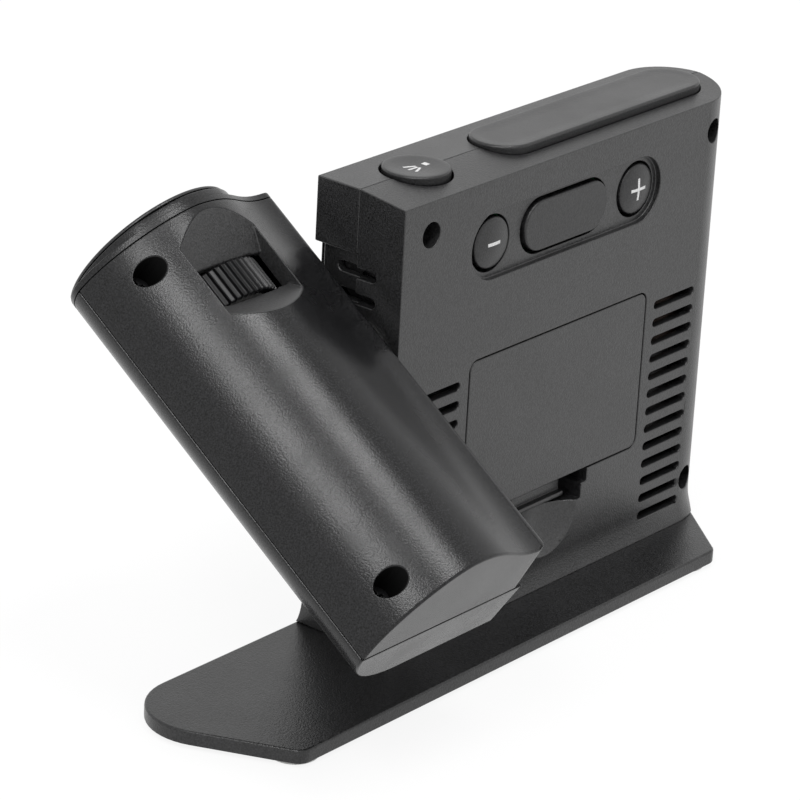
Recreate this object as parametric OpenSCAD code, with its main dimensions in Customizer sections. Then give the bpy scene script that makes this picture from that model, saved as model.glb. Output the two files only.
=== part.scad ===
// Projection alarm clock on a slim base plate, with a tilting projector arm
// at its right-hand end as seen from the front. Millimetres, +Z up. The front
// faces -Y and the arm is on the +X side. The arm is drawn at the tilt it is shown
// at. The origin is on the table, in the middle of the length and the depth that
// the whole clock then takes up.

/* [Base plate] */
// Length of the base plate
base_len = 151.8; // [151.4:0.2:160]
// Thickness of the base plate
base_t = 2.8; // [2.6:0.1:4]
// How far the base plate reaches behind the body
base_back = 14.2; // [12:0.1:20]
// How far the base plate reaches in front of the body
base_front = 1.2; // [1.2:0.1:4]
// Radius of the large front corner at the arm end
base_corner_r = 12; // [9:0.5:14]
// Radius of the large front corner at the other end
base_far_r = 11; // [10.6:0.1:12]
// Radius of the two small back corners
base_back_r = 3; // [2:0.5:6]
// Distance from the arm end of the plate to its back corner
base_slant_arm = 8.8; // [4:0.2:14]
// Distance from the other end of the plate to its back corner
base_slant_far = 15.8; // [10:0.2:16]
// Radius of a rubber foot
foot_r = 4; // [3:0.1:4.5]
// How far a foot stands out below the plate
foot_proud = 0.9; // [0.5:0.1:2]
// Depth of the pocket that a foot sits in
foot_sink = 0.8; // [0.4:0.1:1.2]
// Distance from a foot's middle to the edges of the plate
foot_edge = 5.4; // [5:0.2:8]

/* [Body] */
// Length of the body
body_len = 103; // [100:0.2:112]
// Depth of the body, front to back
body_d = 21; // [20.8:0.1:24]
// Height of the body above the base plate
body_h = 90.4; // [89:0.2:96]
// Depth of the rear housing, from the seam to the back face
rear_depth = 10.8; // [10.8:0.1:12]
// Distance from the arm end of the base plate to the flat end of the body
body_inset = 48; // [46.6:0.2:52]
// Thickness of the housing walls
wall = 1.8; // [1.5:0.1:2.2]
// Thickness of the top wall at the seam
top_wall = 2.6; // [2.4:0.1:3]
// Fall of the rear housing's top, from the seam to the back edge
top_fall = 1.3; // [0:0.1:1.4]
// How far the foot of the body flares out
flare_out = 1.2; // [0.4:0.1:1.2]
// Height of the flare
flare_h = 5.5; // [3:0.1:7]
// How far the front housing's end is stepped back
end_step = 1; // [0.4:0.1:1.2]
// Distance of the brow's lower edge below the top
brow_h = 12.6; // [11:0.2:16]

/* [Housing screws] */
// Radius of the screw wells in the back
well_r = 2.45; // [2.3:0.05:2.6]
// Depth of the screw wells
well_depth = 6.5; // [4:0.1:7.5]
// Radius of the posts that the screws run in
post_r = 3.6; // [3.4:0.1:4]
// Distance of the screws from the flat end
screw_end = 7.8; // [7.8:0.1:9]
// Distance of the screws from the round end
screw_far = 8.2; // [8:0.1:8.4]
// Distance of the upper screws below the top
screw_top = 7.8; // [7.4:0.1:9]
// Height of the lower screws above the base plate
screw_low = 8.6; // [7.6:0.1:9]

/* [Battery compartment] */
// Distance from the flat end to the middle of the controls on the back
panel_inset = 48.8; // [48:0.2:50]
// Width of the battery cover
cover_w = 54.8; // [54:0.2:57]
// Height of the battery cover
cover_h = 33; // [31:0.2:34]
// Height of the cover's lower edge above the base plate
cover_z = 21; // [20.6:0.2:22]
// Thickness of the cover
cover_t = 1.6; // [1.2:0.1:1.8]
// Corner radius of the cover
cover_r = 2.2; // [1:0.1:3]
// Gap round the cover
cover_gap = 0.25; // [0.15:0.05:0.4]
// Radius of a battery cell
cell_r = 5.25; // [5:0.05:5.3]
// Length of a battery cell
cell_len = 44.5; // [43:0.5:44.5]
// Width of the latch notch below the cover
notch_w = 23.8; // [20:0.2:26]
// Height of the latch notch
notch_h = 6; // [5.4:0.2:6.4]
// Radius of the thumb scoop below the notch
scoop_r = 9; // [7:0.2:9.6]
// Depth of the thumb scoop
scoop_depth = 4; // [2:0.1:4.4]

/* [Back keys] */
// Distance of the keys' middle below the top
keys_drop = 14.4; // [14:0.1:15]
// Distance between the middle key and a round key
key_pitch = 22.1; // [21.6:0.1:23]
// Radius of a round key
key_r = 5.4; // [4.6:0.1:5.6]
// Width of the long middle key
set_w = 26; // [20:0.2:28]
// Depth of the trough that the keys sit in
trough_depth = 1.2; // [0.8:0.1:1.4]
// Margin of the trough round the keys
trough_margin = 1.35; // [1:0.05:1.4]
// Travel of a key
key_travel = 0.7; // [0.3:0.05:0.75]
// Running gap round every key and button
key_gap = 0.2; // [0.1:0.05:0.3]
// Thickness of the flange that holds a key in
key_flange = 0.8; // [0.6:0.1:1]
// How far a flange reaches past its opening
flange_lip = 0.5; // [0.4:0.05:0.6]

/* [Top buttons] */
// Width of the long snooze bar
bar_w = 12.8; // [11:0.1:13.4]
// Length of the snooze bar
bar_len = 64.4; // [50:0.2:66]
// How far the top buttons stand proud
button_proud = 0.9; // [0.85:0.05:1.4]
// Travel of the top buttons
button_travel = 0.6; // [0.4:0.05:0.65]
// Radius of the round projection button
spot_r = 6.7; // [6:0.1:6.8]
// Distance of the round button from the flat end
spot_inset = 15.7; // [15.4:0.1:17]

/* [Vent slots] */
// Number of vent slots in the far column
vents_far = 13; // [4:1:13]
// Number of vent slots in the column by the arm
vents_arm = 10; // [3:1:10]
// Distance between vent slots
vent_pitch = 3.77; // [3.2:0.01:3.8]
// Height of a vent slot
vent_h = 1.7; // [1:0.1:1.8]
// Length of a vent slot
vent_w = 13.1; // [8:0.1:13.4]
// Height of the top vent slot above the base plate
vent_top_z = 50.1; // [50:0.1:52]
// Distance of the vent columns' middles from the panel's middle
vent_x = 36.6; // [35.8:0.1:37]

/* [Display] */
// Thickness of the front window
window_t = 1.5; // [1.2:0.1:1.8]
// Thickness of the wall behind the window
window_seat = 1.2; // [1:0.1:1.4]
// Distance from the flat end to the window
window_end = 2; // [1.2:0.1:3]
// Distance from the round end to the window
window_far = 13; // [12:0.2:16]
// Height of the window's lower edge above the base plate
window_z = 6.5; // [6:0.1:10]
// Width of the liquid crystal panel
lcd_w = 64; // [58:0.5:64]
// Height of the liquid crystal panel
lcd_h = 55; // [50:0.5:55]
// Thickness of the liquid crystal panel
lcd_t = 2; // [1.6:0.1:2]
// Thickness of the light guide
guide_t = 1.5; // [1.2:0.1:1.6]
// Margin of the panel behind the viewing opening
lcd_margin = 2; // [1:0.1:4]

/* [Arm] */
// Tilt of the arm in the pose shown, from upright
arm_tilt = 55.2; // [50:0.1:60]
// Height of the pivot above the base plate
pivot_h = 56.7; // [56.7:0.1:59]
// Length of the arm above the pivot
arm_up = 33.1; // [33:0.1:34]
// Length of the arm below the pivot
arm_down = 52.4; // [50:0.1:52.4]
// Width of the arm
arm_w = 44.2; // [43.8:0.2:45]
// Gap between the arm and the body
arm_gap = 0.8; // [0.7:0.05:1]
// Depth of the arm behind its seam, at the crest
arm_crest = 17.5; // [17.2:0.1:19]
// Depth of the arm behind its seam, at the inner side
arm_side = 11.1; // [10:0.1:12]
// Distance of the crest from the inner side
crest_x = 24; // [22:0.2:26]
// Depth of the arm in front of its seam
arm_front = 11.5; // [11.4:0.1:13]
// Thickness of the arm's walls
arm_wall = 1.4; // [1.2:0.1:1.5]
// Slope of the rear shell's lower end, degrees
end_slope = 5; // [2:0.5:6]
// Radius of the screw wells in the arm
arm_well_r = 2.7; // [2.4:0.1:2.8]
// Distance of the arm's screws from the inner side
arm_screw_x = 37.7; // [37:0.1:38]
// Distance of the arm's screws from its ends
arm_screw_end = 7.3; // [7:0.1:9]

/* [Projector] */
// Distance of the optical axis from the inner side
lens_x = 22.8; // [22:0.1:24]
// Distance of the optical axis behind the seam
lens_n = 2.2; // [2:0.1:2.4]
// Distance from the arm's end to the thumb wheel's window
wheel_drop = 11.5; // [11:0.1:12]
// Length of the wheel's window along the arm
wheel_slot = 8; // [7.6:0.1:8.4]
// Half the width of the wheel's window
wheel_half = 9.6; // [8.6:0.1:10]
// Gap between the wheel and what is round it
wheel_gap = 0.3; // [0.2:0.05:0.4]
// Number of ridges on the wheel
ridges = 64; // [40:1:80]
// Depth of the ridges
ridge_h = 0.5; // [0.2:0.05:0.7]
// Depth of the scoop above the wheel, below the crest
dish_depth = 5.5; // [5:0.1:5.8]
// Length of the scoop above the wheel
dish_run = 9; // [7:0.1:9.6]
// Length of the cove below the wheel
cove_run = 5.6; // [4:0.1:7]
// Outer radius of the optical tubes
tube_r = 8.4; // [8:0.1:8.6]
// Wall of the optical tubes
tube_wall = 1.45; // [1.2:0.05:1.6]
// Running clearance of turning and sliding tubes
run_gap = 0.05; // [0.03:0.01:0.08]
// Thickness of the end cap's rim
cap_band = 1.2; // [1:0.1:1.6]
// Radius of the round back of the collar on the end cap
collar_r = 17.6; // [16.6:0.1:17.8]
// Height of the collar
collar_h = 1.45; // [1:0.05:2]
// Thickness of the end ring
ring_t = 0.7; // [0.5:0.05:1.2]
// Groove between the collar and the end ring
ring_groove = 0.25; // [0.15:0.05:0.4]
// Outer radius of the focus ring
focus_r = 11.6; // [10.6:0.1:11.7]
// Travel of the lens each way
focus_travel = 1.4; // [0.5:0.1:1.5]

/* [Pivot] */
// Radius of the hollow pivot shaft
shaft_r = 5; // [4.4:0.1:5.2]
// Radius of the wire passage through the shaft
shaft_bore = 3; // [2:0.1:3.4]
// Radius of the boss round the shaft
boss_r = 9.6; // [8.6:0.1:9.8]
// Depth of the boss inside the body
boss_t = 3.6; // [3:0.1:3.8]
// Thickness of the thrust washer in the gap
washer_t = 0.6; // [0.5:0.05:0.65]

/* [Hidden] */
$fn = 64;

black = [0.07, 0.07, 0.075];
dark = [0.12, 0.12, 0.13];
steel = [0.75, 0.76, 0.78];
board_green = [0.08, 0.3, 0.16];
eps = 0.01;
wrap_sink = 0.02;
far = 300;

// Height of the end ring's top above the arm's end, and how far it stands in from the collar
ring_top = collar_h + ring_groove + ring_t;
ring_inset = 0.4;
outline_gap = 0.02;

// Main places
z0 = foot_proud + base_t;
top_z = z0 + body_h;

// The seam's depth: the clock reaches from the end ring's front edge to the crest at the arm's lower end
// and its middle, to a hundredth, is over the origin
foremost = (arm_front - ring_inset - outline_gap) * cos(arm_tilt) + (arm_up + ring_top) * sin(arm_tilt);
rearmost = arm_crest * cos(arm_tilt) + (arm_down - arm_crest * tan(end_slope)) * sin(arm_tilt);
seam_y = round((foremost - rearmost) * 50) / 100;
back_y = seam_y + rear_depth;
front_y = back_y - body_d;
mid_y = back_y - body_d / 2;
round_r = body_d / 2;
end_x = base_len / 2 - body_inset;
round_x = end_x - body_len + round_r;
base_y0 = front_y - base_front;
base_y1 = back_y + base_back;
pivot_z = z0 + pivot_h;
panel_x = end_x - panel_inset;
front_wall = window_t + window_seat;
inner_front = front_y + front_wall;
inner_top = top_z - top_wall;
brow_z = top_z - brow_h;

// Housing screws: places from the flat end and round end, upper and lower
screw_spots = [
  [end_x - screw_end, top_z - screw_top], [round_x - round_r + screw_far, top_z - screw_top],
  [end_x - screw_end, z0 + screw_low], [round_x - round_r + screw_far, z0 + screw_low]
];
screw_r = 1.3;
screw_play = 0.1;
screw_head_r = 2.2;
screw_head_t = 1.7;
screw_bite = 6;

// Battery compartment
cell_gap = 0.5;
contact_room = 3.6;
bay_w = cell_len + 2 * contact_room;
bay_h = 4 * cell_r + 3 * cell_gap;
bay_z = z0 + cover_z + cover_h / 2;
bay_y1 = back_y - cover_t - 0.1;
cell_y = bay_y1 - cell_gap - cell_r;
bay_y0 = cell_y - cell_r - cell_gap;
bay_wall = 1.2;
cover_seat = 1.3;
cover_low = z0 + cover_z;
cover_top = cover_low + cover_h;
notch_z = cover_low - notch_h;
tab_w = 7;
tab_x = 16;
tongue_w = 15;
tongue_t = 1.2;
tongue_y = back_y - 4.6;
tab_y = back_y - wall - 0.3;
pocket_y = back_y - 5.4;
notch_y = back_y - 6.4;

// Keys
keys_z = top_z - keys_drop;
trough_y = back_y - trough_depth;
pad_y = trough_y - wall;
key_switch_y = pad_y - key_flange - key_travel - 0.2;
switch_h = 2.5;
board_t = 1.2;
key_board_y = key_switch_y - switch_h;
switch_size = 4.2;
key_post_x = (set_w / 2 + key_pitch - key_r) / 2;
key_post_z = key_r - 0.2;
key_post_r = 1.2;

// Top buttons
bar_x0 = round_x - bar_w / 2;
bar_x1 = bar_x0 + bar_len;
spot_x = end_x - spot_inset;
flange_top = inner_top - 0.1;
button_stem = 1.4;
top_switch_z = flange_top - key_flange - button_stem - button_travel - 0.1;
top_switch_h = 3.5;
top_board_z = top_switch_z - top_switch_h - board_t;
bar_switches = [round_x + 6, bar_x1 - bar_w / 2 - 2];

// Display stack, front to back
window_x0 = round_x - round_r + window_far;
window_x1 = end_x - window_end;
window_z0 = z0 + window_z;
lcd_x = panel_x + 0.8;
lcd_z = (window_z0 + brow_z) / 2 - 1.2;
lcd_y = inner_front + lcd_t;
guide_y = lcd_y + 0.1 + guide_t;
frame_side = 1.8;
frame_lip = 2.5;
frame_back = guide_y + 0.9;
main_t = 1.6;
main_y0 = frame_back + 0.2;
main_y1 = main_y0 + main_t;
main_z0 = z0 + cover_z + cover_h + 2.6;
main_z1 = top_board_z;
main_half = lcd_w / 2 + 6.4;
post_x = lcd_w / 2 + 4.6;
post_z = [main_z0 + 3.6, main_z1 - 3.4];
board_post_r = 2.4;

// Inside pieces
rod_r = 4;
rod_x = round_x - 0.4;
rod_z0 = z0 + 18;
rod_len = 52;
coil_r = 5.4;
coil_len = 16;
sounder_room = [pivot_z + boss_r, top_z - screw_top - post_r];
sounder_gap = 0.75;
sounder_r = (sounder_room[1] - sounder_room[0]) / 2 - sounder_gap;
sounder_t = 3.6;
sounder_z = (sounder_room[0] + sounder_room[1]) / 2;
jack_x = panel_x + 20.8;
jack_z = z0 + 12;
jack_r = 4.3;
jack_len = 10;
jack_bore = 2.75;
jack_bore_len = 8.5;
end_slots = [brow_z - 3.5, brow_z - 8.5];
end_slot_h = 2;
end_slot_front = 5.2;
end_slot_back = 4.7;

// Arm places, in the arm's own frame: x from the body's end, y from the seam, z up the arm
inner_x = arm_gap;
axis_x = arm_gap + lens_x;
axis_y = lens_n;
shell_top = arm_up - cap_band;
screw_zs = [arm_up - arm_screw_end, arm_screw_end - arm_down];
arm_seat_y = 4.4;
arm_post_r = 2.9;
arm_post_y = arm_seat_y - 1.6;
wheel_z1 = arm_up - wheel_drop;
wheel_z0 = wheel_z1 - wheel_slot;
wheel_r = lens_n + arm_front - arm_wall - wheel_gap;
dish_y = arm_crest - dish_depth;
wheel_low = wheel_z0 + wheel_gap;
wheel_high = wheel_z1 - wheel_gap;
wheel_len = wheel_high - wheel_low;
wheel_bore = tube_r + run_gap;
housing_spigot = 3.2;
housing_z0 = wheel_low - 9.6;
lamp_board_t = 1.6;
slide_t = 1.2;
slide_side = 11.2;
slide_z = wheel_low + housing_spigot + 1.4;
tube_z0 = slide_z + slide_t + 0.3;
tube_z1 = arm_up - 1.2;
barrel_r = tube_r - tube_wall - run_gap;
barrel_z1 = arm_up - 1.4 - focus_travel - 0.2;
barrel_z0 = tube_z0 + focus_travel + 0.3;
glass_r = barrel_r - 1;
lug_z = barrel_z0 + 2;
clip_r = 7;
clip_t = 1.2;
wave_r = 7.2;
wave_t = 0.8;
flange_r = 9.2;
flange_t = 1.6;
shaft_in = boss_t + wave_t + clip_t + 0.6;
lead_r = 1.1;
lead_bend = 2;
lead_x = axis_x - 8;
rib_t = 1.6;
rib_zs = [housing_z0 + 3, tube_z0 + 3.2];
focus_z = arm_up - 5;

// A cubic curve through two ends with two pulling points
function cubic(a, b, c, d, steps) = [for (i = [0:steps]) let (t = i / steps, s = 1 - t)
  s * s * s * a + 3 * s * s * t * b + 3 * s * t * t * c + t * t * t * d];

// Outline of the arm, seen along it, drawn in by a margin
function arm_outline(m) = let (w = arm_w - m, c = arm_crest - m, f = m - arm_front) concat(
  [[m, f], [m, arm_side - m]],
  cubic([m, arm_side - m], [10, arm_side - m], [crest_x - 10, c], [crest_x, c], 14),
  cubic([crest_x, c], [crest_x + 7, c], [w - 1.2, 9 - m], [w, 0], 16),
  cubic([w, 0], [w, -4.5], [w - 6.2, f + 0.5], [w - 16, f], 10));

// Direction from a circle's middle to where the line that wraps circles a and b leaves it
function wrap_angle(a, b) = let (v = b[0] - a[0], d = norm(v))
  atan2(v[1], v[0]) - 90 + asin((a[1] - b[1]) / d);
function on_circle(c, angle) = c[0] + (c[1] - wrap_sink) * [cos(angle), sin(angle)];

// Flat shape wrapped round a ring of circles given as [[x, y], r], anticlockwise
module wrapped(circles) {
  n = len(circles);
  for (c = circles) translate(c[0]) circle(c[1]);
  polygon([for (i = [0:n - 1]) let (a = circles[i], b = circles[(i + 1) % n], g = wrap_angle(a, b))
    each [on_circle(a, g), on_circle(b, g)]]);
}

// Stadium shape, with its length along x
module pill(length, width) {
  square([length - width, width], center = true);
  for (s = [-1, 1]) translate([s * (length - width) / 2, 0]) circle(width / 2);
}

module rounded_box(w, h, r) {
  square([w - 2 * r, h], center = true);
  square([w, h - 2 * r], center = true);
  for (x = [-1, 1], y = [-1, 1]) translate([x * (w / 2 - r), y * (h / 2 - r)]) circle(r);
}

// Box from its low corner to its high corner
module span(low, high) { translate(low) cube(high - low); }

// Extrusion that starts at depth y0 and runs forward to y1, drawn in x and z
module along_y(y0, y1) { translate([0, y1, 0]) rotate([90, 0, 0]) linear_extrude(y1 - y0) children(); }

// Plain cylinder along y, centred on x and z
module rod_y(x, z, r, y0, y1) { translate([x, y1, z]) rotate([90, 0, 0]) cylinder(h = y1 - y0, r = r); }

// Plain cylinder along x, at the pivot's height and depth
module rod_x(x0, x1, r) { translate([x0, 0, 0]) rotate([0, 90, 0]) cylinder(h = x1 - x0, r = r); }

module ring_x(x0, x1, r_out, r_in) {
  difference() {
    rod_x(x0, x1, r_out);
    rod_x(x0 - 1, x1 + 1, r_in);
  }
}

// Plan of the body, drawn in by a margin
module body_plan(m) {
  translate([round_x, mid_y]) circle(round_r - m, $fn = 96);
  translate([round_x, front_y + m]) square([end_x - m - round_x, body_d - 2 * m]);
}

// Plan of the hollow, whose front wall is thicker than the others
module hollow_plan() {
  translate([round_x, mid_y]) circle(round_r - wall, $fn = 96);
  translate([round_x, inner_front]) square([end_x - wall - end_step - round_x, back_y - wall - inner_front]);
}

module hollow() { translate([0, 0, z0 + wall]) linear_extrude(inner_top - z0 - wall) hollow_plan(); }

// Profile of the concave flare, from the wall outwards
module flare_profile() {
  r = (flare_h * flare_h + flare_out * flare_out) / (2 * flare_out);
  difference() {
    translate([-1, 0]) square([flare_out + 1, flare_h]);
    translate([r, flare_h]) circle(r, $fn = 96);
  }
}

// Body whose flared foot stays within the outline of the base plate
module flared_body() {
  translate([0, 0, z0]) linear_extrude(body_h) body_plan(0);
  intersection() {
    union() {
      for (side = [0, 1]) translate([end_x, side == 0 ? back_y : front_y, z0])
        mirror([0, side, 0]) rotate([90, 0, -90]) linear_extrude(end_x - round_x) mirror([1, 0, 0]) flare_profile();
      translate([round_x, mid_y, z0]) rotate([0, 0, 90])
        rotate_extrude(angle = 180, $fn = 96) translate([round_r, 0]) flare_profile();
    }
    translate([0, 0, z0 - 1]) linear_extrude(flare_h + 2) base_outline();
  }
}

module behind_seam() { span([-far, seam_y, -far], [far, far, far]); }
module before_seam() { span([-far, -far, -far], [far, seam_y, far]); }
module at_pivot() { translate([end_x, seam_y, pivot_z]) children(); }
module arm_pose() { at_pivot() rotate([arm_tilt, 0, 0]) children(); }

// Openings in the top that the bar and the round button work in
module top_openings() {
  translate([(bar_x0 + bar_x1) / 2, seam_y, inner_top - 1])
    linear_extrude(top_wall + 2) pill(bar_len + 2 * key_gap, bar_w + 2 * key_gap);
  translate([spot_x, seam_y, inner_top - 1]) cylinder(h = top_wall + 2, r = spot_r + key_gap);
}

// Sound slots in the flat end, across the seam
module end_openings() {
  for (z = end_slots) translate([end_x - wall - end_step - 1, seam_y + (end_slot_back - end_slot_front) / 2, z])
    rotate([90, 0, 90]) linear_extrude(wall + end_step + 2) pill(end_slot_front + end_slot_back, end_slot_h);
}

// Boss and bore of the pivot, in both housings
module pivot_boss() { at_pivot() rod_x(-boss_t, 0, boss_r); }
module pivot_bore() { at_pivot() rod_x(-boss_t - 1, 1, shaft_r + run_gap); }

module base_outline() {
  half = base_len / 2;
  wrapped([
    [[base_far_r - half, base_y0 + base_far_r], base_far_r],
    [[half - base_corner_r, base_y0 + base_corner_r], base_corner_r],
    [[half - base_slant_arm - base_back_r, base_y1 - base_back_r], base_back_r],
    [[base_slant_far + base_back_r - half, base_y1 - base_back_r], base_back_r]
  ]);
}

module base_plate() {
  color(black) difference() {
    translate([0, 0, foot_proud]) linear_extrude(base_t) base_outline();
    for (p = feet_spots()) translate([p[0], p[1], foot_proud - 1]) cylinder(h = foot_sink + 1, r = foot_r + 0.05);
    for (x = base_screw_xs()) {
      translate([x, base_screw_y(), 0]) cylinder(h = z0 + 1, r = screw_r + screw_play);
      translate([x, base_screw_y(), 0]) cylinder(h = foot_proud + screw_head_t, r = screw_head_r + 0.3);
    }
  }
}

function feet_spots() = let (e = foot_edge, half = base_len / 2) [
  [base_far_r - half, base_y0 + e + 2], [half - base_corner_r, base_y0 + e + 2],
  [half - base_slant_arm - e + 0.6, base_y1 - e], [base_slant_far + e - half, base_y1 - e]
];
function base_screw_xs() = [end_x - 18, round_x + 12];
function base_screw_y() = back_y - wall - 3.8;

module rubber_feet() {
  color([0.7, 0.7, 0.7]) for (p = feet_spots()) translate([p[0], p[1], 0]) {
    translate([0, 0, 0.4]) cylinder(h = foot_proud + foot_sink - 0.4, r = foot_r);
    cylinder(h = 0.4, r1 = foot_r - 0.4, r2 = foot_r);
  }
}

// Screw with a pan head, its head at the top and its shank pointing down
module screw(head_r, head_t, shank_r, length) {
  difference() {
    cylinder(h = head_t, r = head_r);
    for (a = [0, 90]) rotate([0, 0, a]) translate([-head_r * 0.6, -0.3, head_t - 0.7]) cube([head_r * 1.2, 0.6, 1]);
  }
  translate([0, 0, -length]) cylinder(h = length + eps, r = shank_r);
}

module base_screws() {
  color(steel) for (x = base_screw_xs())
    translate([x, base_screw_y(), foot_proud + screw_head_t]) mirror([0, 0, 1])
      screw(screw_head_r, screw_head_t - 0.2, screw_r, base_t - screw_head_t + 7);
}

// Hollow posts for the housing screws, from the back wall to the seam
module rear_posts() {
  intersection() {
    flared_body();
    for (p = screw_spots) rod_y(p[0], p[1], post_r, seam_y, back_y - 0.2);
  }
}

module screw_wells() {
  for (p = screw_spots) {
    rod_y(p[0], p[1], well_r, back_y - well_depth, back_y + 1);
    rod_y(p[0], p[1], screw_r + screw_play, seam_y - 1, back_y);
  }
}

// Walls of the battery compartment and the ledge that the cover rests on
module bay_walls() {
  translate([panel_x, 0, bay_z]) {
    along_y(bay_y0 - bay_wall, bay_y1) square([bay_w + 2 * bay_wall, bay_h + 2 * bay_wall], center = true);
    along_y(bay_y1 - cover_seat, bay_y1) rounded_box(cover_w + 3, cover_h + 3, cover_r + 1.5);
  }
}

// The compartment itself, the cover's opening, and the pockets for its tabs and tongue
module bay_cuts() {
  translate([panel_x, 0, bay_z]) {
    along_y(bay_y0, back_y + 1) square([bay_w, bay_h], center = true);
    along_y(bay_y1, back_y + 1) rounded_box(cover_w, cover_h, cover_r);
  }
  for (s = [-1, 1]) translate([panel_x + s * tab_x, 0, 0])
    span([-tab_w / 2, pocket_y, cover_top - 4], [tab_w / 2, bay_y1 + eps, cover_top + 2]);
  translate([panel_x, 0, 0]) {
    span([-notch_w / 2, notch_y, cover_low - 2.8], [notch_w / 2, back_y + 1, cover_low + 2.2]);
    span([1.6 - notch_w / 2, notch_y, notch_z], [notch_w / 2 - 1.6, back_y + 1, cover_low - 2]);
  }
}

// Walls behind the latch notch and the dished thumb scoop
module scoop_walls() {
  r = (scoop_r * scoop_r + scoop_depth * scoop_depth) / (2 * scoop_depth);
  translate([panel_x, 0, 0])
    span([-notch_w / 2 - 1.2, notch_y - 1.2, notch_z - 1.2], [notch_w / 2 + 1.2, back_y - wall + eps, cover_low + 1.5]);
  intersection() {
    translate([panel_x, back_y - scoop_depth + r, notch_z]) sphere(r + 1.6, $fn = 64);
    span([panel_x - far, notch_y - 1.2, z0], [panel_x + far, back_y - eps, notch_z]);
  }
}

module scoop_cut() {
  r = (scoop_r * scoop_r + scoop_depth * scoop_depth) / (2 * scoop_depth);
  intersection() {
    translate([panel_x, back_y - scoop_depth + r, notch_z]) sphere(r, $fn = 64);
    span([panel_x - far, back_y - far, z0], [panel_x + far, back_y + eps, notch_z + eps]);
  }
}

module vent_cuts() {
  for (i = [0:vents_far - 1]) translate([panel_x - vent_x, 0, z0 + vent_top_z - i * vent_pitch])
    along_y(back_y - wall - 1, back_y + 1) pill(vent_w, vent_h);
  for (i = [0:vents_arm - 1]) translate([panel_x + vent_x, 0, z0 + vent_top_z - i * vent_pitch])
    along_y(back_y - wall - 1, back_y + 1) pill(vent_w, vent_h);
}

// Trough for the keys and the openings that they work in
module key_cuts() {
  translate([panel_x, 0, keys_z]) {
    along_y(trough_y, back_y + 1) pill(2 * (key_pitch + key_r + trough_margin), 2 * (key_r + trough_margin));
    along_y(pad_y - 1, back_y) pill(set_w + 2 * key_gap, 2 * (key_r + key_gap));
  }
  for (s = [-1, 1]) rod_y(panel_x + s * key_pitch, keys_z, key_r + key_gap, pad_y - 1, back_y);
}

// Cradles that hold the ferrite rod
module rod_cradles() {
  for (z = [rod_z0 + 3, rod_z0 + rod_len - 4.6]) difference() {
    span([rod_x - 3, mid_y, z], [rod_x + 3, back_y - 0.6, z + 1.6]);
    translate([rod_x, mid_y, z - 1]) cylinder(h = 4, r = rod_r + 0.1);
  }
}

module rear_housing() {
  color(black) difference() {
    union() {
      difference() {
        intersection() {
          flared_body();
          behind_seam();
        }
        hollow();
        vent_cuts();
      }
      intersection() {
        pivot_boss();
        behind_seam();
      }
      rear_posts();
      bay_walls();
      scoop_walls();
      rod_cradles();
      translate([panel_x, 0, keys_z]) along_y(pad_y, back_y - 0.5)
        pill(2 * (key_pitch + key_r + trough_margin + wall), 2 * (key_r + trough_margin + wall));
      for (x = base_screw_xs()) translate([x, base_screw_y(), z0]) cylinder(h = 8, r = 3);
      for (s = [-1, 1], t = [-1, 1])
        rod_y(panel_x + s * key_post_x, keys_z + t * key_post_z, key_post_r, key_board_y, back_y - 1);
    }
    translate([0, seam_y, top_z]) rotate([-atan(top_fall / rear_depth), 0, 0]) span([-far, 0, 0], [far, 30, 20]);
    top_openings();
    end_openings();
    pivot_bore();
    screw_wells();
    bay_cuts();
    scoop_cut();
    key_cuts();
    rod_y(jack_x, jack_z, jack_r - 1, back_y - wall - 1, back_y + 1);
    for (x = base_screw_xs()) translate([x, base_screw_y(), z0 - 1]) cylinder(h = 8, r = screw_r + 0.05);
  }
}

module front_housing() {
  color(black) difference() {
    union() {
      difference() {
        intersection() {
          flared_body();
          before_seam();
        }
        hollow();
        span([end_x - end_step, front_y - 9, z0 - 1], [end_x + 1, seam_y + 1, brow_z]);
      }
      intersection() {
        pivot_boss();
        before_seam();
      }
      intersection() {
        flared_body();
        for (p = screw_spots) rod_y(p[0], p[1], post_r - 0.6, front_y + window_t + 0.4, seam_y);
      }
      for (s = [-1, 1], z = post_z) rod_y(lcd_x + s * post_x, z, board_post_r, inner_front - 0.2, main_y0);
    }
    span([window_x0 - 0.1, front_y - 9, window_z0 - 0.1], [end_x + 1, front_y + window_t, brow_z]);
    translate([lcd_x, 0, lcd_z]) along_y(front_y, inner_front + eps)
      square([lcd_w - 2 * lcd_margin, lcd_h - 2 * lcd_margin], center = true);
    top_openings();
    end_openings();
    pivot_bore();
    for (p = screw_spots) rod_y(p[0], p[1], screw_r + 0.05, seam_y - screw_bite, seam_y + 1);
    for (s = [-1, 1], z = post_z) rod_y(lcd_x + s * post_x, z, 0.95, main_y0 - 3.4, main_y0 + 1);
  }
}

module housing_screws() {
  color(steel) for (p = screw_spots) translate([p[0], back_y - well_depth, p[1]]) rotate([-90, 0, 0])
    screw(screw_head_r, screw_head_t, screw_r, rear_depth - well_depth + screw_bite - 0.5);
}

module display_window() {
  color([0.03, 0.03, 0.04])
    span([window_x0, front_y, window_z0], [window_x1, front_y + window_t, brow_z - 0.1]);
}

module lcd_panel() {
  color([0.35, 0.4, 0.38]) translate([lcd_x, 0, lcd_z]) along_y(inner_front, lcd_y) square([lcd_w, lcd_h], center = true);
}

module light_guide() {
  color([0.9, 0.9, 0.85]) translate([lcd_x, 0, lcd_z])
    along_y(lcd_y, lcd_y + guide_t) square([lcd_w, lcd_h], center = true);
}

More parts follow.
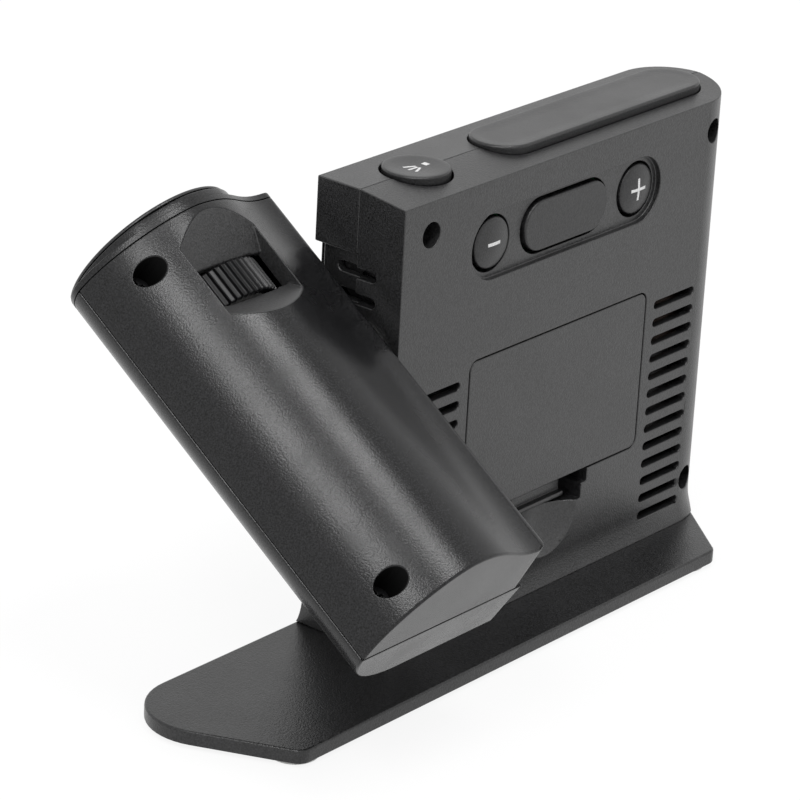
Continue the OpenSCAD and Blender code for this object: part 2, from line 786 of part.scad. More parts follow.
module display_frame() {
  color([0.85, 0.85, 0.85]) translate([lcd_x, 0, lcd_z]) difference() {
    along_y(inner_front, frame_back) square([lcd_w + 2 * frame_side, lcd_h + 2 * frame_side], center = true);
    along_y(inner_front - 1, lcd_y + guide_t) square([lcd_w + 0.2, lcd_h + 0.2], center = true);
    along_y(inner_front - 1, frame_back + 1) square([lcd_w - 2 * frame_lip, lcd_h - 2 * frame_lip], center = true);
  }
}

module main_board() {
  color(board_green) difference() {
    span([lcd_x - main_half, main_y0, main_z0], [lcd_x + main_half, main_y1, main_z1]);
    for (s = [-1, 1], z = post_z) rod_y(lcd_x + s * post_x, z, 1.1, main_y0 - 1, main_y1 + 1);
  }
  color(dark) {
    span([lcd_x - 9, main_y1, main_z0 + 5], [lcd_x + 7, main_y1 + 1.4, main_z0 + 14]);
    span([lcd_x + 17, main_y1, main_z0 + 8], [lcd_x + 24, main_y1 + 2, main_z0 + 11]);
    rod_y(lcd_x - 20, main_z0 + 9, 3, main_y1, main_y1 + 3);
  }
}

module board_screws() {
  color(steel) for (s = [-1, 1], z = post_z) translate([lcd_x + s * post_x, main_y1, z])
    rotate([-90, 0, 0]) screw(1.8, 1.2, 0.9, main_t + 3);
}

module tact_switch(height) {
  color(dark) translate([-switch_size / 2, -switch_size / 2, 0]) cube([switch_size, switch_size, height - 0.6]);
  color([0.5, 0.2, 0.2]) cylinder(h = height, r = 1.6);
}

module top_board() {
  color(board_green)
    span([round_x + 2.4, inner_front + 0.4, top_board_z],
         [end_x - screw_end - post_r - 0.4, key_board_y - board_t - 0.3, top_board_z + board_t]);
  for (x = concat(bar_switches, [spot_x])) translate([x, seam_y, top_board_z + board_t]) tact_switch(top_switch_h);
}

module key_board() {
  half = key_pitch + key_r + 1.6;
  color(board_green) translate([panel_x, 0, keys_z]) along_y(key_board_y - board_t, key_board_y)
    square([2 * half, 2 * key_r + 2.2], center = true);
  for (s = [-1, 0, 1]) translate([panel_x + s * key_pitch, key_board_y, keys_z]) rotate([-90, 0, 0]) tact_switch(switch_h);
}

module sounder() {
  color(dark) translate([end_x, seam_y, sounder_z]) rotate([0, 90, 0]) difference() {
    translate([0, 0, -wall - end_step - 0.1 - sounder_t]) cylinder(h = sounder_t, r = sounder_r);
    translate([0, 0, -wall - end_step - 1]) cylinder(h = 2, r = sounder_r / 5);
  }
}

module ferrite_rod() {
  color([0.2, 0.18, 0.17]) translate([rod_x, mid_y, rod_z0]) cylinder(h = rod_len, r = rod_r);
}

module antenna_coil() {
  color([0.75, 0.42, 0.2]) translate([rod_x, mid_y, rod_z0 + rod_len / 2 - coil_len / 2]) difference() {
    cylinder(h = coil_len, r = coil_r);
    translate([0, 0, -1]) cylinder(h = coil_len + 2, r = rod_r + 0.1);
  }
}

module dc_jack() {
  color(dark) difference() {
    union() {
      rod_y(jack_x, jack_z, jack_r, back_y - wall - jack_len, back_y - wall);
      rod_y(jack_x, jack_z, jack_r - 1.1, back_y - wall - 1, back_y - 0.3);
    }
    rod_y(jack_x, jack_z, jack_bore, back_y - jack_bore_len, back_y + 1);
  }
}

module main_lead() {
  color([0.1, 0.1, 0.6]) at_pivot() rod_x(-shaft_in - 11.4, -shaft_in - 4.3, lead_r);
  color([0.9, 0.9, 0.85])
    span([end_x - shaft_in - 15.4, main_y1, pivot_z - 2], [end_x - shaft_in - 11.3, seam_y + 2, main_z0 + 4]);
}

// Place of a cell, 1 for the upper and -1 for the lower, which lies the other way round
module cell_place(s) {
  translate([panel_x, cell_y, bay_z + s * (cell_r + cell_gap / 2)]) mirror([s < 0 ? 1 : 0, 0, 0]) children();
}

module battery_contacts() {
  plate_t = 0.4;
  color(steel) for (s = [-1, 1]) cell_place(s) {
    for (e = [-1, 1]) translate([e * (bay_w - plate_t) / 2, 0, 0]) cube([plate_t, 8.4, 9.4], center = true);
    translate([bay_w / 2 - plate_t, 0, 0]) rotate([0, -90, 0]) cylinder(h = contact_room - plate_t, r1 = 3.4, r2 = 2.2);
  }
}

// Coned springs, drawn as a stack of rings
module battery_springs() {
  turns = 4;
  plate_t = 0.4;
  pitch = (contact_room - plate_t) / turns;
  color(steel) for (s = [-1, 1]) cell_place(s) translate([plate_t - bay_w / 2, 0, 0]) for (i = [0:turns - 1])
    translate([i * pitch, 0, 0]) ring_x(0, pitch, 3.8 - i * 0.4, 2.8 - i * 0.4);
}

module cell() {
  color([0.2, 0.25, 0.3]) translate([-cell_len / 2, 0, 0]) rotate([0, 90, 0]) cylinder(h = cell_len - 1, r = cell_r);
  color(steel) translate([cell_len / 2 - 1 - eps, 0, 0]) rotate([0, 90, 0]) cylinder(h = 1 + eps, r = 1.9);
}

module cell_upper() { cell_place(1) cell(); }
module cell_lower() { cell_place(-1) cell(); }

module battery_cover() {
  w = cover_w - 2 * cover_gap;
  h = cover_h - 2 * cover_gap;
  color(dark) {
    translate([panel_x, 0, bay_z]) along_y(back_y - cover_t, back_y) rounded_box(w, h, cover_r - cover_gap);
    for (s = [-1, 1]) translate([panel_x + s * tab_x, 0, 0]) {
      span([1 - tab_w / 2, tab_y - 1.2, cover_top - 2], [tab_w / 2 - 1, back_y - cover_t + eps, cover_top - 1]);
      span([1 - tab_w / 2, tab_y - 1.2, cover_top - 2], [tab_w / 2 - 1, tab_y, cover_top + 1.2]);
    }
    translate([panel_x, 0, 0]) {
      span([-tongue_w / 2, tongue_y, cover_low + 0.6], [tongue_w / 2, back_y - cover_t + eps, cover_low + 1.8]);
      span([-tongue_w / 2, tongue_y, notch_z + 0.8], [tongue_w / 2, tongue_y + tongue_t, cover_low + 1.8]);
      span([-tongue_w / 2, tongue_y, notch_z + 0.8], [tongue_w / 2, tongue_y + 2.4, notch_z + 1.8]);
    }
  }
}

// Button for the top: cap, retaining flange and stems over its switches
module top_button(proud) {
  translate([0, 0, flange_top - eps]) linear_extrude(top_z + proud - flange_top + eps) children(0);
  translate([0, 0, flange_top - key_flange]) linear_extrude(key_flange) children(1);
}

module snooze_bar() {
  color(dark) {
    translate([(bar_x0 + bar_x1) / 2, seam_y, 0]) top_button(button_proud) {
      pill(bar_len, bar_w);
      pill(bar_len + 2 * flange_lip, bar_w + 2 * flange_lip);
    }
    for (x = bar_switches) translate([x, seam_y, flange_top - key_flange - button_stem])
      cylinder(h = button_stem + eps, r = 2);
  }
}

module projection_button() {
  color(dark) translate([spot_x, seam_y, 0]) {
    difference() {
      top_button(button_proud) {
        circle(spot_r);
        circle(spot_r + flange_lip);
      }
      translate([0, 0, top_z + button_proud - 0.5 + 40]) sphere(40, $fn = 64);
    }
    translate([0, 0, flange_top - key_flange - button_stem]) cylinder(h = button_stem + eps, r = 2);
  }
}

// Round key with a domed face
module round_key(side) {
  crown = 0.7;
  r = (key_r * key_r + crown * crown) / (2 * crown);
  y1 = back_y - 0.2;
  color(dark) translate([panel_x + side * key_pitch, 0, keys_z]) {
    intersection() {
      rod_y(0, 0, key_r, pad_y - 0.2, y1);
      translate([0, y1 - r, 0]) sphere(r, $fn = 96);
    }
    rod_y(0, 0, key_r + flange_lip, pad_y - 0.1 - key_flange, pad_y - 0.1);
  }
}

module minus_key() { round_key(1); }
module plus_key() { round_key(-1); }

module set_key() {
  color(dark) translate([panel_x, 0, keys_z]) {
    along_y(pad_y - 0.2, back_y - 0.4) pill(set_w, 2 * key_r);
    along_y(pad_y - 0.1 - key_flange, pad_y - 0.1) pill(set_w + 2 * flange_lip, 2 * (key_r + flange_lip));
  }
}

module arm_prism(z_low, z_high, margin) {
  translate([inner_x, 0, z_low]) linear_extrude(z_high - z_low) polygon(arm_outline(margin));
}

module arm_rear_half() { span([-far, 0, -far], [far, far, far]); }
module arm_front_half() { span([-far, -far, -far], [far, 0, far]); }

// Cross walls that cradle the optical tubes
module cradle_ribs() {
  for (z = rib_zs) arm_prism(z, z + rib_t, arm_wall - 0.1);
}

module tube_space() {
  translate([axis_x, axis_y, 0]) {
    translate([0, 0, housing_z0 - 1]) cylinder(h = arm_up - housing_z0 + 2, r = tube_r + run_gap);
    translate([0, 0, wheel_low - 2]) cylinder(h = 2, r = tube_r + 0.8);
    translate([0, 0, wheel_z0 - 0.3]) cylinder(h = wheel_slot + 0.6, r = wheel_r + wheel_gap);
    translate([0, 0, focus_z - 0.6]) cylinder(h = 8, r = focus_r + 0.3);
  }
}

// Room for the shaft and its flange inside the arm
module shaft_space() {
  rod_x(-1, inner_x + arm_wall + 1, shaft_r + run_gap);
  rod_x(inner_x + arm_wall, inner_x + arm_wall + flange_t + 0.3, flange_r + 0.3);
}

module arm_front_shell() {
  color(black) arm_pose() difference() {
    union() {
      intersection() {
        arm_front_half();
        difference() {
          arm_prism(-arm_down, shell_top, 0);
          arm_prism(arm_wall - arm_down, shell_top + 1, arm_wall);
        }
      }
      intersection() {
        arm_front_half();
        cradle_ribs();
      }
      intersection() {
        arm_prism(-arm_down, shell_top, 0.2);
        for (z = screw_zs) rod_y(inner_x + arm_screw_x, z, arm_post_r, -arm_front, arm_post_y);
      }
    }
    tube_space();
    shaft_space();
    for (z = screw_zs) rod_y(inner_x + arm_screw_x, z, screw_r + 0.05, -5, arm_seat_y);
  }
}

// Thumb recess: a slope down to the wheel, the wheel's window, and a cove back up
module wheel_recess() {
  translate([axis_x - wheel_half, 0, 0]) rotate([90, 0, 90]) linear_extrude(2 * wheel_half) polygon([
    [arm_crest + 0.02, wheel_z1 + dish_run], [dish_y, wheel_z1], [dish_y - 4, wheel_z1],
    [dish_y - 4, wheel_z0], [dish_y, wheel_z0], [arm_crest + 0.02, wheel_z0 - cove_run],
    [arm_crest + 9, wheel_z0 - cove_run], [arm_crest + 9, wheel_z1 + dish_run]
  ]);
}

module arm_rear_shell() {
  color(black) arm_pose() difference() {
    union() {
      intersection() {
        arm_rear_half();
        difference() {
          arm_prism(-arm_down, shell_top, 0);
          arm_prism(arm_wall - arm_down + 1.5, shell_top + 1, arm_wall);
        }
      }
      intersection() {
        arm_rear_half();
        cradle_ribs();
      }
      intersection() {
        arm_prism(-arm_down, shell_top, 0);
        span([axis_x - wheel_half - 1.4, dish_y - 1.1, wheel_z0 - cove_run - 1.4],
             [axis_x + wheel_half + 1.4, far, shell_top - 1.6]);
      }
      intersection() {
        arm_prism(-arm_down, shell_top, 0.1);
        for (z = screw_zs) rod_y(inner_x + arm_screw_x, z, arm_well_r + 1, arm_post_y, arm_crest);
      }
    }
    translate([0, 0, -arm_down]) rotate([end_slope, 0, 0]) span([-far, 0, -20], [far, far, 0]);
    wheel_recess();
    tube_space();
    shaft_space();
    for (z = screw_zs) {
      rod_y(inner_x + arm_screw_x, z, arm_well_r, arm_seat_y, arm_crest + 1);
      rod_y(inner_x + arm_screw_x, z, screw_r + screw_play, 0, arm_crest);
      rod_y(inner_x + arm_screw_x, z, arm_post_r + 0.1, -1, arm_post_y);
    }
  }
}

module arm_screws() {
  color(steel) arm_pose() for (z = screw_zs) translate([inner_x + arm_screw_x, arm_seat_y, z])
    rotate([-90, 0, 0]) screw(screw_head_r, screw_head_t, screw_r, 8);
}

// Round-backed outline of the collar and ring, cut flat along the arm's front
module collar_outline(r) {
  intersection() {
    translate([inner_x + crest_x - 0.6, 0]) circle(r, $fn = 128);
    translate([inner_x, 0]) polygon(arm_outline(collar_r - r + outline_gap));
  }
}

module arm_end_cap() {
  color(black) arm_pose() difference() {
    union() {
      arm_prism(shell_top, arm_up, 0);
      arm_prism(shell_top - 1.5, shell_top + eps, arm_wall + 0.1);
      translate([0, 0, arm_up - eps]) linear_extrude(collar_h + eps) collar_outline(collar_r);
      translate([0, 0, arm_up]) linear_extrude(collar_h + ring_groove) collar_outline(collar_r - 1);
    }
    translate([axis_x, axis_y, shell_top - 9]) cylinder(h = 30, r = focus_r + 0.3);
  }
}

module end_ring() {
  color(dark) arm_pose() difference() {
    translate([0, 0, arm_up + collar_h + ring_groove]) linear_extrude(ring_t) collar_outline(collar_r - ring_inset);
    translate([axis_x, axis_y, 0]) cylinder(h = 90, r = focus_r + 0.3);
  }
}

module pivot_shaft() {
  color(dark) arm_pose() difference() {
    union() {
      rod_x(-shaft_in, inner_x + arm_wall + eps, shaft_r);
      rod_x(inner_x + arm_wall, inner_x + arm_wall + flange_t, flange_r);
    }
    rod_x(-shaft_in - 1, 20, shaft_bore);
  }
}

module thrust_washer() { color([0.85, 0.85, 0.8]) arm_pose() ring_x(inner_x - washer_t, inner_x, boss_r - 0.4, shaft_r + 0.1); }
module wave_washer() { color(steel) arm_pose() ring_x(-boss_t - wave_t - 0.05, -boss_t - 0.05, wave_r, shaft_r + 0.1); }
module pivot_clip() {
  color(steel) arm_pose() ring_x(-boss_t - wave_t - clip_t - 0.1, -boss_t - wave_t - 0.1, clip_r, shaft_r + 0.02);
}

module lamp_board() {
  z = housing_z0 - lamp_board_t;
  color(board_green) arm_pose() span([axis_x - 13, axis_y - 9, z], [axis_x + 12, axis_y + 7.6, z + lamp_board_t]);
  color([1, 1, 0.9]) arm_pose() translate([axis_x, axis_y, z + lamp_board_t]) {
    cylinder(h = 3, r = 2.5);
    translate([0, 0, 3]) sphere(2.5);
  }
}

module lamp_housing() {
  color([0.8, 0.8, 0.82]) arm_pose() translate([axis_x, axis_y, 0]) difference() {
    union() {
      translate([0, 0, housing_z0]) cylinder(h = wheel_low + housing_spigot - housing_z0, r = tube_r);
      translate([0, 0, wheel_low - 1.5]) cylinder(h = 1.3, r = tube_r + 0.6);
    }
    translate([0, 0, housing_z0 - 1]) cylinder(h = 40, r = tube_r - tube_wall);
  }
}

module condenser_lens() {
  color([0.8, 0.9, 1, 0.5]) arm_pose() translate([axis_x, axis_y, wheel_low + housing_spigot - 3]) {
    cylinder(h = 1.4, r = tube_r - tube_wall);
    translate([0, 0, 1.4 - eps]) intersection() {
      cylinder(h = 1.5, r = tube_r - tube_wall);
      translate([0, 0, 1.5 - 18]) sphere(18, $fn = 64);
    }
  }
}

module lamp_lead() {
  color([0.1, 0.1, 0.6]) arm_pose() {
    rod_x(-shaft_in - 4, lead_x - lead_bend, lead_r);
    translate([lead_x - lead_bend, 0, lead_bend]) rotate([90, 90, 0])
      rotate_extrude(angle = 90) translate([lead_bend, 0]) circle(lead_r);
    translate([lead_x, 0, lead_bend]) cylinder(h = housing_z0 - lamp_board_t - lead_bend, r = lead_r);
  }
}

module lens_tube() {
  color(dark) arm_pose() translate([axis_x, axis_y, 0]) difference() {
    translate([0, 0, tube_z0]) cylinder(h = tube_z1 - tube_z0, r = tube_r);
    translate([0, 0, tube_z0 - 1]) cylinder(h = 60, r = tube_r - tube_wall);
    for (a = [0, 180]) rotate([0, 0, a]) span([0, -0.9, lug_z - focus_travel - 0.2], [tube_r + 1, 0.9, tube_z1 + 1]);
  }
}

module rotate_wheel() {
  color(dark) arm_pose() translate([axis_x, axis_y, 0]) difference() {
    translate([0, 0, wheel_low]) linear_extrude(wheel_len) polygon([for (i = [0:2 * ridges - 1])
      let (a = 180 * i / ridges, r = wheel_r - (i % 2) * ridge_h) [r * cos(a), r * sin(a)]]);
    translate([0, 0, wheel_low - 1]) cylinder(h = slide_z - wheel_low, r = wheel_bore);
    translate([0, 0, slide_z]) cylinder(h = 20, r = wheel_bore);
    translate([0, 0, wheel_low]) linear_extrude(30) square(slide_side - 3, center = true);
  }
}

module slide_panel() {
  color([0.1, 0.12, 0.2]) arm_pose() translate([axis_x, axis_y, slide_z]) linear_extrude(slide_t) square(slide_side, center = true);
}

module focus_ring() {
  color(dark) arm_pose() translate([axis_x, axis_y, 0]) difference() {
    translate([0, 0, focus_z]) cylinder(h = arm_up + ring_top - focus_z, r = focus_r);
    translate([0, 0, focus_z - 1]) cylinder(h = tube_z1 - focus_z + 1.2, r = wheel_bore);
    cylinder(h = 90, r = glass_r);
    translate([0, 0, arm_up]) cylinder(h = ring_top + eps, r1 = glass_r, r2 = focus_r - 2);
    for (a = [0:30:330]) rotate([0, 0, a]) translate([focus_r - 0.4, 0, arm_up + ring_top - 0.7]) cylinder(h = 2, r = 1);
  }
}

module lens_barrel() {
  color(dark) arm_pose() translate([axis_x, axis_y, 0]) difference() {
    union() {
      translate([0, 0, barrel_z0]) cylinder(h = barrel_z1 - barrel_z0, r = barrel_r);
      for (a = [0, 180]) rotate([0, 0, a]) span([barrel_r - 1, -0.7, lug_z], [tube_r - 0.3, 0.7, lug_z + 3]);
    }
    translate([0, 0, barrel_z0 - 1]) cylinder(h = 40, r = glass_r - 1);
    translate([0, 0, barrel_z1 - 2.6]) cylinder(h = 40, r = glass_r + 0.02);
  }
}

module projection_lens() {
  bulge = 0.9;
  r = (glass_r * glass_r + bulge * bulge) / (2 * bulge);
  color([0.75, 0.85, 1, 0.5]) arm_pose() translate([axis_x, axis_y, barrel_z1 - 2.6]) {
    cylinder(h = 1.4, r = glass_r);
    translate([0, 0, 1.4 - eps]) intersection() {
      cylinder(h = bulge + 0.1, r = glass_r);
      translate([0, 0, bulge - r]) sphere(r, $fn = 64);
    }
  }
}

base_plate();
rubber_feet();
base_screws();
rear_housing();
front_housing();
housing_screws();
display_window();
lcd_panel();
light_guide();
display_frame();
main_board();
board_screws();
top_board();
key_board();
sounder();
ferrite_rod();
antenna_coil();
dc_jack();
main_lead();
battery_contacts();
battery_springs();
cell_upper();
cell_lower();
battery_cover();
snooze_bar();
projection_button();
minus_key();
set_key();
plus_key();
arm_front_shell();
arm_rear_shell();
arm_screws();
arm_end_cap();
end_ring();
pivot_shaft();
thrust_washer();
wave_washer();
pivot_clip();
lamp_board();
lamp_housing();
condenser_lens();
lamp_lead();
lens_tube();
rotate_wheel();
slide_panel();
focus_ring();
lens_barrel();
projection_lens();
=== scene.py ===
# %% [markdown]
# # A projection alarm clock, piece by piece
# The object is a slim upright clock on a base plate, with a projector arm that
# tilts at one end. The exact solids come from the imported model. This script puts
# finished skins over the ones that are seen most, gives every other one its
# material, and then sets up the light and the camera. Sizes are written in
# millimetres and turned into metres as the last step.

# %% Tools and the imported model
import bpy
import bmesh
import math
from mathutils import Matrix, Vector
from mathutils.bvhtree import BVHTree


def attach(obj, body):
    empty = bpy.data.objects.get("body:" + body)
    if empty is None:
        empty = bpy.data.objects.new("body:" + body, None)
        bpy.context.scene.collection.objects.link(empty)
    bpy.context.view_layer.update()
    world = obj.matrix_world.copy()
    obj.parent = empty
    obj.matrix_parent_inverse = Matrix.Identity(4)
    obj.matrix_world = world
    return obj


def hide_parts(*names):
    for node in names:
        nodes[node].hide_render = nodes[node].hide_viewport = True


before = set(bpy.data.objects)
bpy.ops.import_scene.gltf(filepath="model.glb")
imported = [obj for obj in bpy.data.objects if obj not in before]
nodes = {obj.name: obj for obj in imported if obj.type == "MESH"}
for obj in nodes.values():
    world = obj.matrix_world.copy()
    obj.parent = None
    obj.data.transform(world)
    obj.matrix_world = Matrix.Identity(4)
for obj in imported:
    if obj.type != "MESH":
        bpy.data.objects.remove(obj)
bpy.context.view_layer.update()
MM = 0.001


# %% [markdown]
# ## Outlines
# Most pieces here are a flat outline that rises through a few heights, with its
# edge rolled over. So an outline is a function of how far it is drawn in, and it
# always gives the same number of points, which lets one height join to the next.


# %% Outline helpers
LEAST_R = 0.05  # a corner that is drawn in keeps at least this radius


def arc(cx, cy, r, start, end, steps):
    """Points on a circle from one angle to another, in degrees."""
    turns = [math.radians(start + (end - start) * i / steps) for i in range(steps + 1)]
    return [(cx + r * math.cos(t), cy + r * math.sin(t)) for t in turns]


def disc(r, steps=96):
    """A full circle."""
    return lambda m: arc(0, 0, r - m, 0, 360 - 360 / steps, steps - 1)


def pill(length, width):
    """Two half circles joined by straight sides."""
    half, r = (length - width) / 2, width / 2
    return lambda m: arc(half, 0, r - m, -90, 90, 24) + arc(-half, 0, r - m, 90, 270, 24)


def panel(w, h, r):
    """A rectangle with rounded corners."""
    x, y = w / 2 - r, h / 2 - r
    spots = ((x, -y, -90), (x, y, 0), (-x, y, 90), (-x, -y, 180))
    return lambda m: [
        p for cx, cy, a in spots for p in arc(cx, cy, max(r - m, LEAST_R), a, a + 90, 6)
    ]


def wrapped(circles):
    """A band stretched round circles given as (x, y, radius), anticlockwise."""
    turns = []
    for (ax, ay, ar), (bx, by, br) in zip(circles, circles[1:] + circles[:1]):
        away = math.degrees(math.atan2(by - ay, bx - ax))
        turns.append(away - 90 + math.degrees(math.asin((ar - br) / math.hypot(bx - ax, by - ay))))

    def outline(m):
        points = []
        for (cx, cy, r), first, last in zip(circles, turns[-1:] + turns[:-1], turns):
            points += arc(cx, cy, r - m, first, first + (last - first) % 360, 16)
        return points

    return outline


def rolled(low, high, top=0.4, foot=0.0, steps=4):
    """Pairs of (inset, height) with a rounded top edge, and a rounded foot where asked."""
    quarter = [math.radians(90 * i / steps) for i in range(steps + 1)]
    start = [(0, low)]
    if foot:
        start = [(foot * (1 - math.sin(t)), low + foot * (1 - math.cos(t))) for t in quarter]
    return start + [(top * (1 - math.cos(t)), high - top + top * math.sin(t)) for t in quarter]


print("a pill has", len(pill(20, 10)(0)), "points and a panel has", len(panel(20, 10, 2)(0)))


# %% [markdown]
# ## From outlines to meshes
# A skin is made of rings of points joined by quads. A modifier stack on cubes
# and cylinders could give the same forms, but rings follow a drawn outline
# exactly, and the outline stays a short list of numbers that is easy to change.


# %% Mesh helpers
def level(x0=0, y0=0):
    """Places an outline flat, as seen from above."""
    return lambda x, y, h: Vector((x + x0, y + y0, h)) * MM


def upright(x0=0, z0=0):
    """Places an outline in a plane that faces front or back; its height runs along +Y."""
    return lambda x, z, h: Vector((x + x0, h, z + z0)) * MM


def stack(outline, heights, place):
    """Rings of points: the outline at each inset and height, put in its place."""
    return [[place(x, y, h) for x, y in outline(inset)] for inset, h in heights]


def loft(rings, closed=False):
    """Joins rings with quads, and caps the two ends unless the last ring meets the first."""
    bm = bmesh.new()
    layers = [[bm.verts.new(p) for p in ring] for ring in rings]
    count = len(layers[0])
    for a, b in zip(layers, layers[1:] + (layers[:1] if closed else [])):
        for i in range(count):
            j = (i + 1) % count
            bm.faces.new((a[i], a[j], b[j], b[i]))
    if not closed:
        bm.faces.new(layers[0][::-1])
        bm.faces.new(layers[-1])
    bmesh.ops.recalc_face_normals(bm, faces=bm.faces)
    return bm


def as_object(name, bm):
    """Turns the points and faces into an object of the scene."""
    mesh = bpy.data.meshes.new(name)
    bm.to_mesh(mesh)
    bm.free()
    obj = bpy.data.objects.new(name, mesh)
    bpy.context.scene.collection.objects.link(obj)
    return obj


trial = loft(stack(disc(10), rolled(0, 5), level()))
print("a disc with a rolled edge takes", len(trial.faces), "faces")
trial.free()


# %% [markdown]
# ## Cutting and softening
# Where a real mould has a slot or a window, a cutter is taken away from the skin
# and the cut edge is bevelled, which is what catches the light on a moulded part.
# A boolean leaves crumbs, and a bevel can throw a point far out beside a crumb. So
# the crumbs are joined first, and any point that strayed is put back at the end.


# %% Cutting and softening
CRUMB, SLIVER = 0.03, 0.002  # points and edges closer than this are joined, in mm
STRAY = 0.75  # share of the bevel's width that a point may leave the old surface by


def settle(obj):
    """Turns what the modifiers show into the object's own mesh."""
    graph = bpy.context.evaluated_depsgraph_get()
    shown = obj.evaluated_get(graph)
    mesh = bpy.data.meshes.new_from_object(shown, preserve_all_data_layers=True, depsgraph=graph)
    obj.modifiers.clear()
    old, obj.data = obj.data, mesh
    bpy.data.meshes.remove(old)


def carve(obj, cutters):
    """Takes each cutter away from the object."""
    for bm in cutters:
        tool = as_object("cutter", bm)
        cut = obj.modifiers.new("cut", "BOOLEAN")
        cut.operation, cut.solver, cut.object = "DIFFERENCE", "EXACT", tool
        settle(obj)
        bpy.data.objects.remove(tool)


def soften(obj, width, angle, segments=3):
    """Bevels every edge that is sharper than the angle."""
    bm = bmesh.new()
    bm.from_mesh(obj.data)
    bmesh.ops.remove_doubles(bm, verts=bm.verts, dist=CRUMB * MM)
    bmesh.ops.dissolve_degenerate(bm, edges=bm.edges, dist=SLIVER * MM)
    bm.to_mesh(obj.data)
    before = BVHTree.FromBMesh(bm)
    bm.free()
    edge = obj.modifiers.new("soft edge", "BEVEL")
    edge.width, edge.segments = width * MM, segments
    edge.limit_method, edge.angle_limit = "ANGLE", math.radians(angle)
    edge.use_clamp_overlap = False
    settle(obj)
    strays = 0
    for point in obj.data.vertices:
        spot, _, _, off = before.find_nearest(point.co)
        if off > STRAY * width * MM:
            point.co = spot
            strays += 1
    print(f"{obj.name}: edges rolled by {width} mm, {strays} stray points put back")


# %% [markdown]
# ## Shading, and what a piece rides on
# Smooth shading alone would bend the light across a large flat face towards its
# rolled edges. Weighted normals keep the flat face flat. Then each piece is hung
# on the body that it moves with, so that it goes along when a joint turns.


# %% Finishing a piece
def even(obj, sharp):
    """Smooth shading that keeps large flat faces flat and lets the rolled edges turn."""
    obj.data.shade_smooth()
    obj.data.set_sharp_from_angle(angle=math.radians(sharp))
    flat = obj.modifiers.new("flat faces", "WEIGHTED_NORMAL")
    flat.keep_sharp, flat.weight = True, 60
    settle(obj)


def finished(obj, body, material, replaces=(), sharp=35):
    """Shades a piece, gives it its material and hangs it on the body that it moves with."""
    if not obj.data.materials:
        obj.data.materials.append(material)
    even(obj, sharp)
    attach(obj, body)
    if replaces:
        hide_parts(*replaces)
    print(f"{obj.name}: {len(obj.data.polygons)} faces, rides on {body}")


# %% [markdown]
# ## Finishes
# The clock is moulded in black plastic with a fine spark-eroded grain, which
# turns a lamp into a broad soft sheen with a slight sparkle. A picture of the
# grain would stretch and repeat, so it is worked out from the place instead. A
# fine noise, some tenths of a millimetre across, drives the bump and a change of
# tone. A slow one varies the roughness, which keeps large faces from looking
# flat. A bevel in the shader rounds edges that stay sharp in the mesh.


# %% Material helper
PATCHES = 90  # scale of the slow noise: about this many patches in a metre
DULLER = 0.03  # how far the slow noise moves the roughness either way
EDGE = 0.12  # radius of the shader's own bevel, in mm
BUMP = 0.3  # depth of the grain as a share of its size


def moulded(name, tone, rough, grain=0.0, size=0.25, metal=0.0, spread=0.25, **sockets):
    """Plastic, rubber or metal with a grain of the given size in millimetres."""
    mat = bpy.data.materials.new(name)
    mat.use_nodes = True
    tree = mat.node_tree
    shader = tree.nodes["Principled BSDF"]
    shader.inputs["Metallic"].default_value = metal
    for socket, value in sockets.items():
        shader.inputs[socket.replace("_", " ")].default_value = value
    where = tree.nodes.new("ShaderNodeTexCoord")

    def noise(scale, detail):
        """Cloudy values from 0 to 1, worked out from the place on the object."""
        n = tree.nodes.new("ShaderNodeTexNoise")
        n.inputs["Scale"].default_value = scale
        n.inputs["Detail"].default_value = detail
        tree.links.new(where.outputs["Object"], n.inputs["Vector"])
        return n.outputs["Fac"]

    def between(value, low, high):
        """Stretches a noise, which stays near its middle, over a range of its own."""
        n = tree.nodes.new("ShaderNodeMapRange")
        n.inputs["From Min"].default_value, n.inputs["From Max"].default_value = 0.3, 0.7
        n.inputs["To Min"].default_value, n.inputs["To Max"].default_value = low, high
        tree.links.new(value, n.inputs["Value"])
        return n.outputs["Result"]

    fine, slow = noise(1 / (size * MM), 2), noise(PATCHES, 2)
    tree.links.new(between(slow, rough - DULLER, rough + DULLER), shader.inputs["Roughness"])
    mix = tree.nodes.new("ShaderNodeMix")
    mix.data_type = "RGBA"
    mix.inputs["A"].default_value = (*[c * (1 - spread) for c in tone], 1)
    mix.inputs["B"].default_value = (*[min(c * (1 + spread), 1) for c in tone], 1)
    tree.links.new(between(fine, 0, 1), mix.inputs["Factor"])
    tree.links.new(mix.outputs["Result"], shader.inputs["Base Color"])
    soft = tree.nodes.new("ShaderNodeBevel")
    soft.samples = 4
    soft.inputs["Radius"].default_value = EDGE * MM
    bump = tree.nodes.new("ShaderNodeBump")
    bump.inputs["Strength"].default_value = grain
    bump.inputs["Distance"].default_value = size * MM * BUMP
    tree.links.new(fine, bump.inputs["Height"])
    tree.links.new(soft.outputs["Normal"], bump.inputs["Normal"])
    tree.links.new(bump.outputs["Normal"], shader.inputs["Normal"])
    return mat


print("the slow patches are about", round(1 / PATCHES / MM), "mm across")

